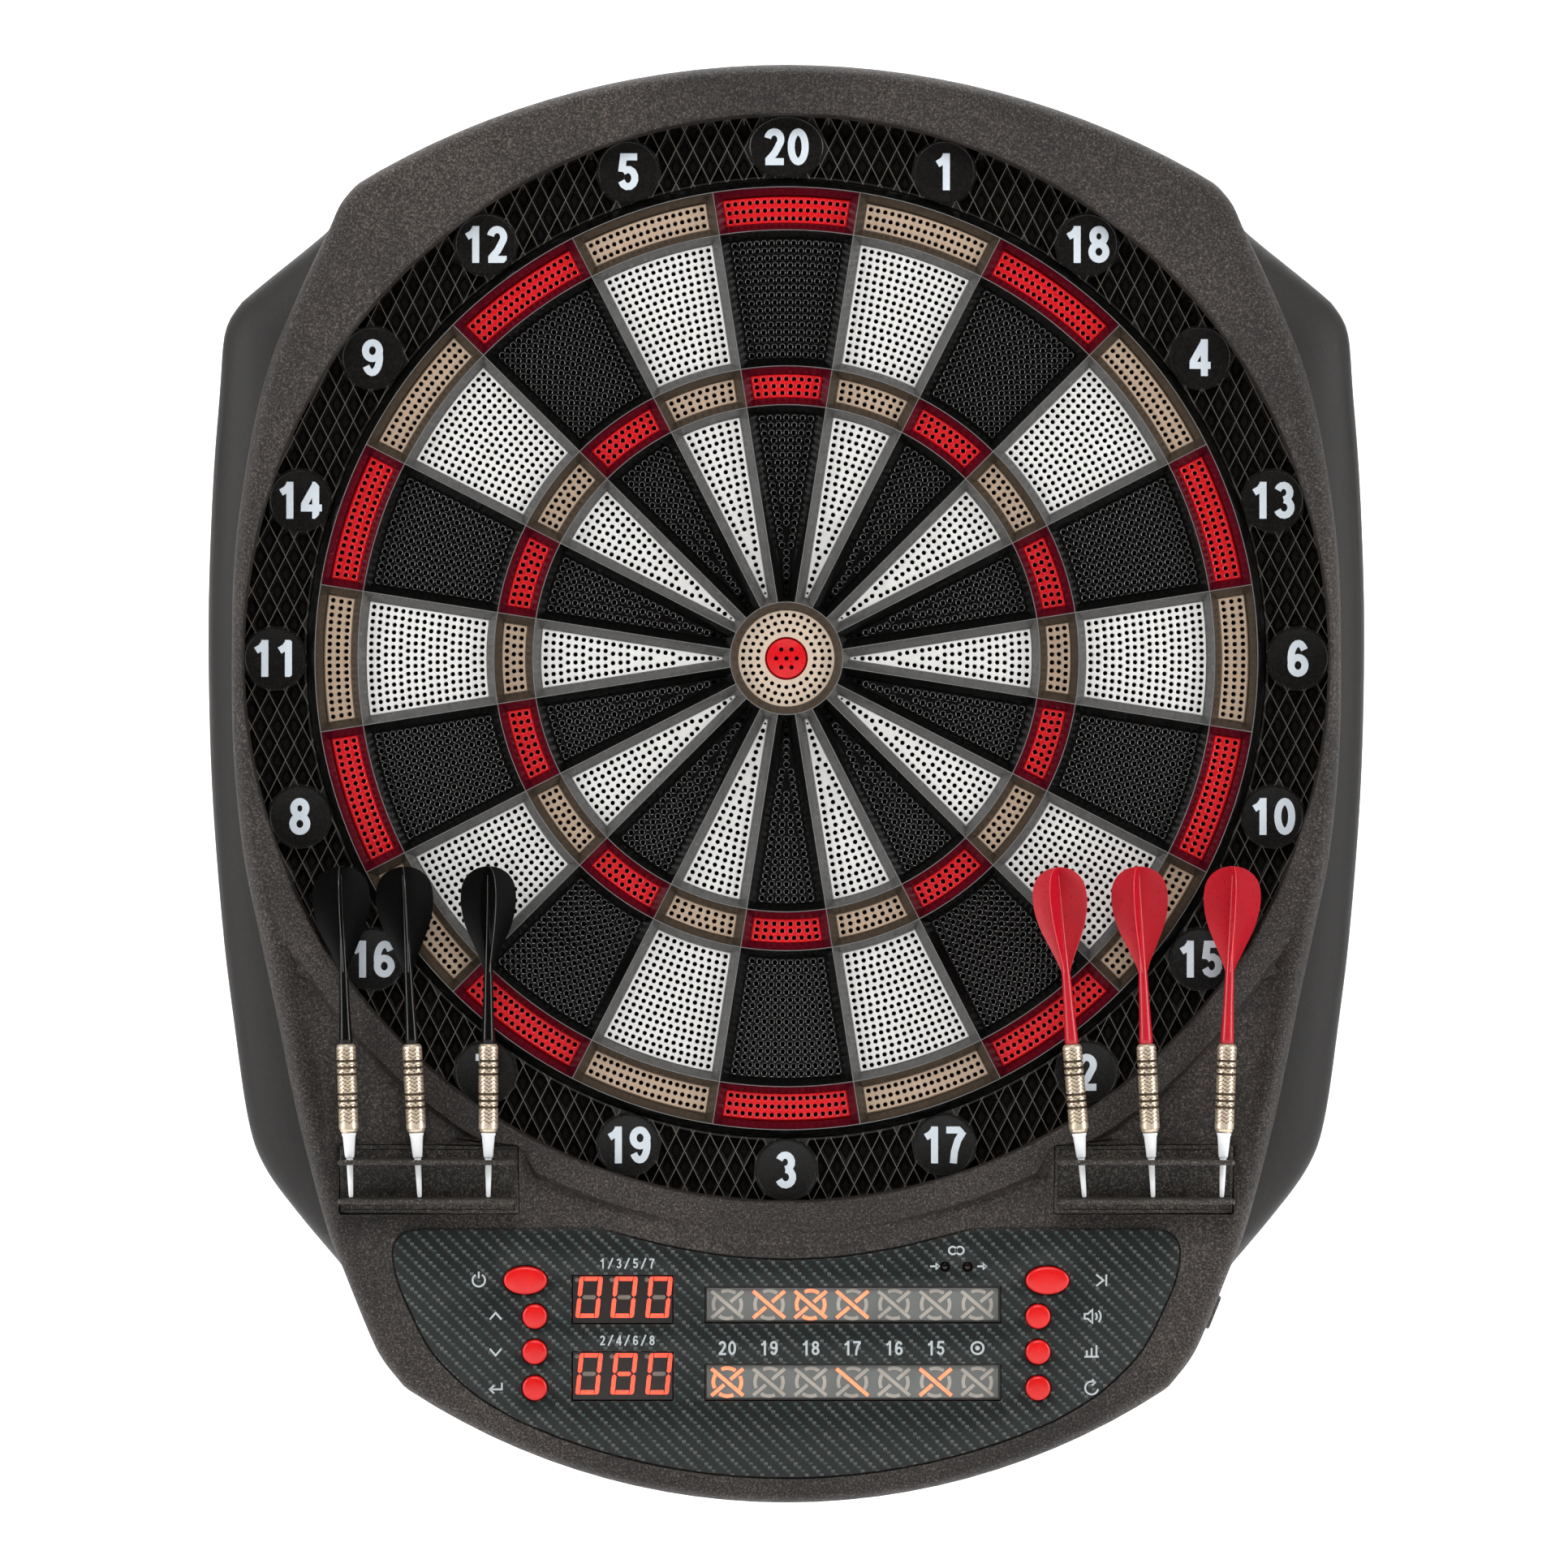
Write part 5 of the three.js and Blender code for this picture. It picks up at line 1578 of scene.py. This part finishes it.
def vane(turn):
    """One of the four vanes of a flight, a thin curved plate: points, faces and looks."""
    outline = spline([(0.9, 91), (2.9, 97), (6.4, 105), (9.5, 112), (11.3, 118.5), (11.9, 124.5),
                      (11.2, 130), (8.9, 134), (5.2, 136.6), (1.8, 137.5), (0.3, 137.6)], 4)
    points, faces = [], []
    columns = 5
    for side in (1, -1):
        first = len(points)
        for reach, up in outline:
            for k in range(columns):
                share = k / (columns - 1)
                thick = 0.3 + 0.4 * (1 - share) ** 3
                bend = 0.45 * math.sin(share * math.pi) * math.sin((up - 91) / 46 * math.pi)
                points.append((reach * share, bend + side * thick / 2, up))
        for i in range(len(outline) - 1):
            for k in range(columns - 1):
                a = first + i * columns + k
                face = (a, a + 1, a + 1 + columns, a + columns)
                faces.append(face if side < 0 else face[::-1])
    other = len(outline) * columns
    looks = [0] * len(faces)
    for i in range(len(outline) - 1):
        a = i * columns + columns - 1
        faces.append((a, a + columns, a + columns + other, a + other))
        # the outer edge takes look 1, the painted highlight
        looks.append(1)
    for row in (0, len(outline) - 1):
        for k in range(columns - 1):
            a = row * columns + k
            face = (a, a + 1, a + 1 + other, a + other)
            faces.append(face[::-1] if row else face)
            looks.append(0)
    return turned(points, turn), faces, looks


DART_TURNS = {"left": (0, 6, 18), "right": (-22, -14, 3)}  # of the flights, in degrees
TIP_PROFILE = [(0, 0), (0.75, 0.25), (0.95, 1.2), (1.25, 10), (1.4, 16.4), (1.9, 16.9), (2.0, 17.6),
               (2.65, 25.4), (3.0, 26.2), (3.0, 26.9), (0, 26.9)]
STEM_PROFILE = [(0, 64.1), (2.6, 64.1), (2.85, 64.5), (2.8, 66), (2.5, 72), (2.2, 80), (2.0, 88),
                (1.85, 92), (1.6, 98), (1.2, 108), (0.8, 122), (0.6, 134), (0, 134.6)]


def build_dart(side, index):
    """A soft-tip dart: point, knurled barrel, stem and a flight of four vanes."""
    cad = f"dart_{side}_{index + 1}"
    body = cad + "_body"
    place = dart_place(side, index)
    colour = "black" if side == "left" else "red"
    look = slot = "dart_" + colour
    tip = Solid().add(place(lathe(TIP_PROFILE, 24)))
    piece(cad + "_tip", tip, ("tip",), body=body, smooth=35)
    points, faces, looks = knurled_barrel()
    barrel = Solid().add(place((points, faces)))
    barrel.looks = looks
    piece(cad + "_barrel", barrel, ("brass", "groove", "knurl"), body=body, smooth=25)
    stem = Solid().add(place(lathe(STEM_PROFILE, 24)))
    piece(cad + "_stem", stem, (look,), body=body, smooth=35)
    flight = Solid()
    turn = DART_TURNS[side][index] * DEG
    for quarter in range(4):
        points, faces, looks = vane(turn + quarter * math.pi / 2)
        flight.add(place((points, faces)))
        flight.looks[-len(looks):] = looks
    piece(cad + "_flight", flight, (look, colour + "_flight_highlight_edge"), body=body, stands_for=(cad,),
          smooth=60)


# ---------------------------------------------------------------- jack, screws and what lies inside

JACK_PLACE = (177.2, -273.8, 14)
JACK_TURN = -22 * DEG
JACK_SIZE = (14.6, 12)  # along the flank and out from the wall
JACK_REACH = (-12, 3.4)  # from behind the flank to its outer face
JACK_BORE = 2.9


def build_jack():
    """The power socket on the lower right flank: a rounded block with a round bore and a contact pin."""
    width, height = JACK_SIZE
    back, front = JACK_REACH
    body = rectangle(width, height, 0, 0, 1.2, 3)
    bore = circle(JACK_BORE, 24)
    solid = Solid()
    block = [(0.4, back), (0, back + 0.4), (0, front - 0.6), (0.18, front - 0.18), (0.6, front)]
    floor, top = back + 2, back + 2.6
    pin = [(0, top - 0.1), (0.9, top - 0.1), (0.9, front - 2.6), (0.5, front - 2), (0, front - 2)]
    forms = [(sheet(body, [bore], block), 0),
             (lathe([(0, floor), (JACK_BORE, floor), (JACK_BORE, top), (0, top)], 24), 0),
             (lathe(pin, 16), 1)]
    x0, y0, middle_level = JACK_PLACE
    c, s = math.cos(JACK_TURN), math.sin(JACK_TURN)
    for (points, faces), look in forms:
        # across the flank, out from the wall and out of the flank become the board's axes
        placed = [(x0 + out * c - across * s, y0 + out * s + across * c, middle_level + up)
                  for across, up, out in points]
        solid.add((placed, faces), look=look)
    piece("power_socket", solid, ("holder", "screw"), stands_for=("power_jack",),
          smooth=35)


# radius and level of a screw's head, from the recess in its middle to the shank
SCREW_HEAD = [(0, 1.5), (0.55, 1.5), (1.5, 0.75), (1.9, 0.08), (2.5, 0.1), (3.1, 0.5), (3.4, 1.2),
              (3.4, 2.4), (1.5, 2.4)]
THREAD_STEP = 0.7  # half the thread's pitch


def build_screws():
    """Pan-head screws with a round recess and a thread, seen from behind in their wells."""
    for number in range(1, 7):
        cad = f"screw_{number}"
        low, high = node_box(cad)
        x, y, _ = middle(cad)
        profile = [(radius, low[2] + level) for radius, level in SCREW_HEAD]
        shank = SCREW_HEAD[-1][0]
        levels = np.arange(low[2] + 4, high[2] - 2, THREAD_STEP)
        profile += [(shank if i % 2 else shank - 0.35, level) for i, level in enumerate(levels)]
        profile += [(0.6, high[2] - 0.6), (0, high[2])]
        solid = Solid().add(lathe(profile, 20, x, y))
        piece(cad + "_body", solid, ("screw",), stands_for=(cad,), smooth=40)


# ---------------------------------------------------------------- studio

def plane(name, width, height, place, turn, look):
    """A flat part of the studio, as eight strips side by side; width and height are in metres."""
    solid = Solid()
    strips = 8
    half, strip = height / MM / 2, width / MM / strips
    for i in range(strips):
        a, b = strip * (i - strips / 2), strip * (i + 1 - strips / 2)
        solid.add(([(a, -half, 0), (b, -half, 0), (b, half, 0), (a, half, 0)], [(0, 1, 2, 3)]))
    mesh = bpy.data.meshes.new(name)
    mesh.from_pydata([at(*p) for p in solid.points], [], solid.faces)
    mesh.materials.append(look)
    obj = bpy.data.objects.new(name, mesh)
    obj.location = place
    obj.rotation_euler = turn
    bpy.context.scene.collection.objects.link(obj)


def area_light(name, place, aim, size, power):
    """A rectangular white light that faces a point."""
    data = bpy.data.lights.new(name, "AREA")
    data.shape = "RECTANGLE"
    data.size, data.size_y = size
    data.energy = power
    obj = bpy.data.objects.new(name, data)
    obj.location = place
    obj.rotation_euler = (Vector(aim) - Vector(place)).to_track_quat("-Z", "Y").to_euler()
    bpy.context.scene.collection.objects.link(obj)


def pale_paint():
    made, tree, shader = new_material("studio_white", Roughness=0.9, Specular_IOR_Level=0.1)
    mottle = noise(tree, coordinates(tree), 0.004, 2)
    tint = ramp(tree, mottle, [(0.2, (0.9, 0.9, 0.9)), (0.8, (0.93, 0.93, 0.93))])
    tree.links.new(tint, shader.inputs["Base Color"])
    return made


CAMERA_DISTANCE = 2.5  # from the wall's plane, in metres, as are the camera's other places
CAMERA_AIM = (-0.001, -0.0525)
VIEW_HEIGHT = 0.6546  # what the picture's height spans at the target's face
VIEW_LEVEL = 0.0375


def build_studio():
    """A white floor and backdrop, a softly lit world, four lights and a level camera."""
    white = pale_paint()
    plane("floor", 24, 24, (0, 0, -0.46), (-math.pi / 2, 0, 0), white)
    plane("backdrop", 8, 5, (0, 1.6, 1.9), (0, 0, 0), white)
    world = bpy.data.worlds.new("studio")
    world.use_nodes = True
    tree = world.node_tree
    # dim behind the camera, so that black gloss stays black, and bright behind the object
    direction = node(tree, "ShaderNodeTexCoord").outputs["Generated"]
    toward_back = node(tree, "ShaderNodeSeparateXYZ", [(0, direction)]).outputs["Y"]
    level = node(tree, "ShaderNodeMapRange", [("Value", toward_back), ("From Min", -1.0), ("From Max", 0.6),
                                              ("To Min", 0.025), ("To Max", 0.6)]).outputs["Result"]
    background = tree.nodes["Background"]
    background.inputs["Color"].default_value = (1, 1, 1, 1)
    tree.links.new(level, background.inputs["Strength"])
    bpy.context.scene.world = world
    area_light("left_softbox", (-1.9, -0.8, 0.45), (0, 0, -0.05), (0.6, 1.5), 28)
    area_light("right_softbox", (1.9, -0.8, 0.35), (0, 0, -0.05), (0.6, 1.5), 28)
    area_light("top_softbox", (0, -1.7, 1.5), (0, 0, -0.05), (1.4, 0.6), 25)
    area_light("back_wash", (0, 0.6, 1.9), (0, 1.6, 0.2), (3.0, 0.8), 60)
    camera = bpy.data.cameras.new("camera")
    camera.sensor_fit = "VERTICAL"
    camera.sensor_height = 24
    distance = CAMERA_DISTANCE - VIEW_LEVEL
    camera.lens = camera.sensor_height * distance / VIEW_HEIGHT
    obj = bpy.data.objects.new("camera", camera)
    obj.location = (CAMERA_AIM[0], -CAMERA_DISTANCE, CAMERA_AIM[1])
    obj.rotation_euler = (math.pi / 2, 0, 0)
    bpy.context.scene.collection.objects.link(obj)
    bpy.context.scene.camera = obj
    bpy.context.scene.view_settings.view_transform = "Standard"


build_pads()
build_bulls()
build_web()
build_catch_ring()
build_discs()
build_digits()
build_bezel()
build_rear_housing()
build_fascia()
build_lamps()
build_score_display("upper", "000")
build_score_display("lower", "080")
build_cricket_display("upper", {1: ("long", "cross"), 2: ("ring", "long", "cross"), 3: ("long", "cross")})
build_cricket_display("lower", {0: ("ring", "long", "cross"), 3: ("long",), 5: ("long", "cross")})
build_print()
build_buttons()
for side in ("left", "right"):
    build_holder(side)
    for index in range(3):
        build_dart(side, index)
build_jack()
build_screws()
for name, look in (("rubber_mat", "rubber"), ("switch_matrix", "film"), ("backing_plate", "fibre"),
                   ("circuit_board", "board"), ("speaker", "holder")):
    repaint(name, look)
build_studio()
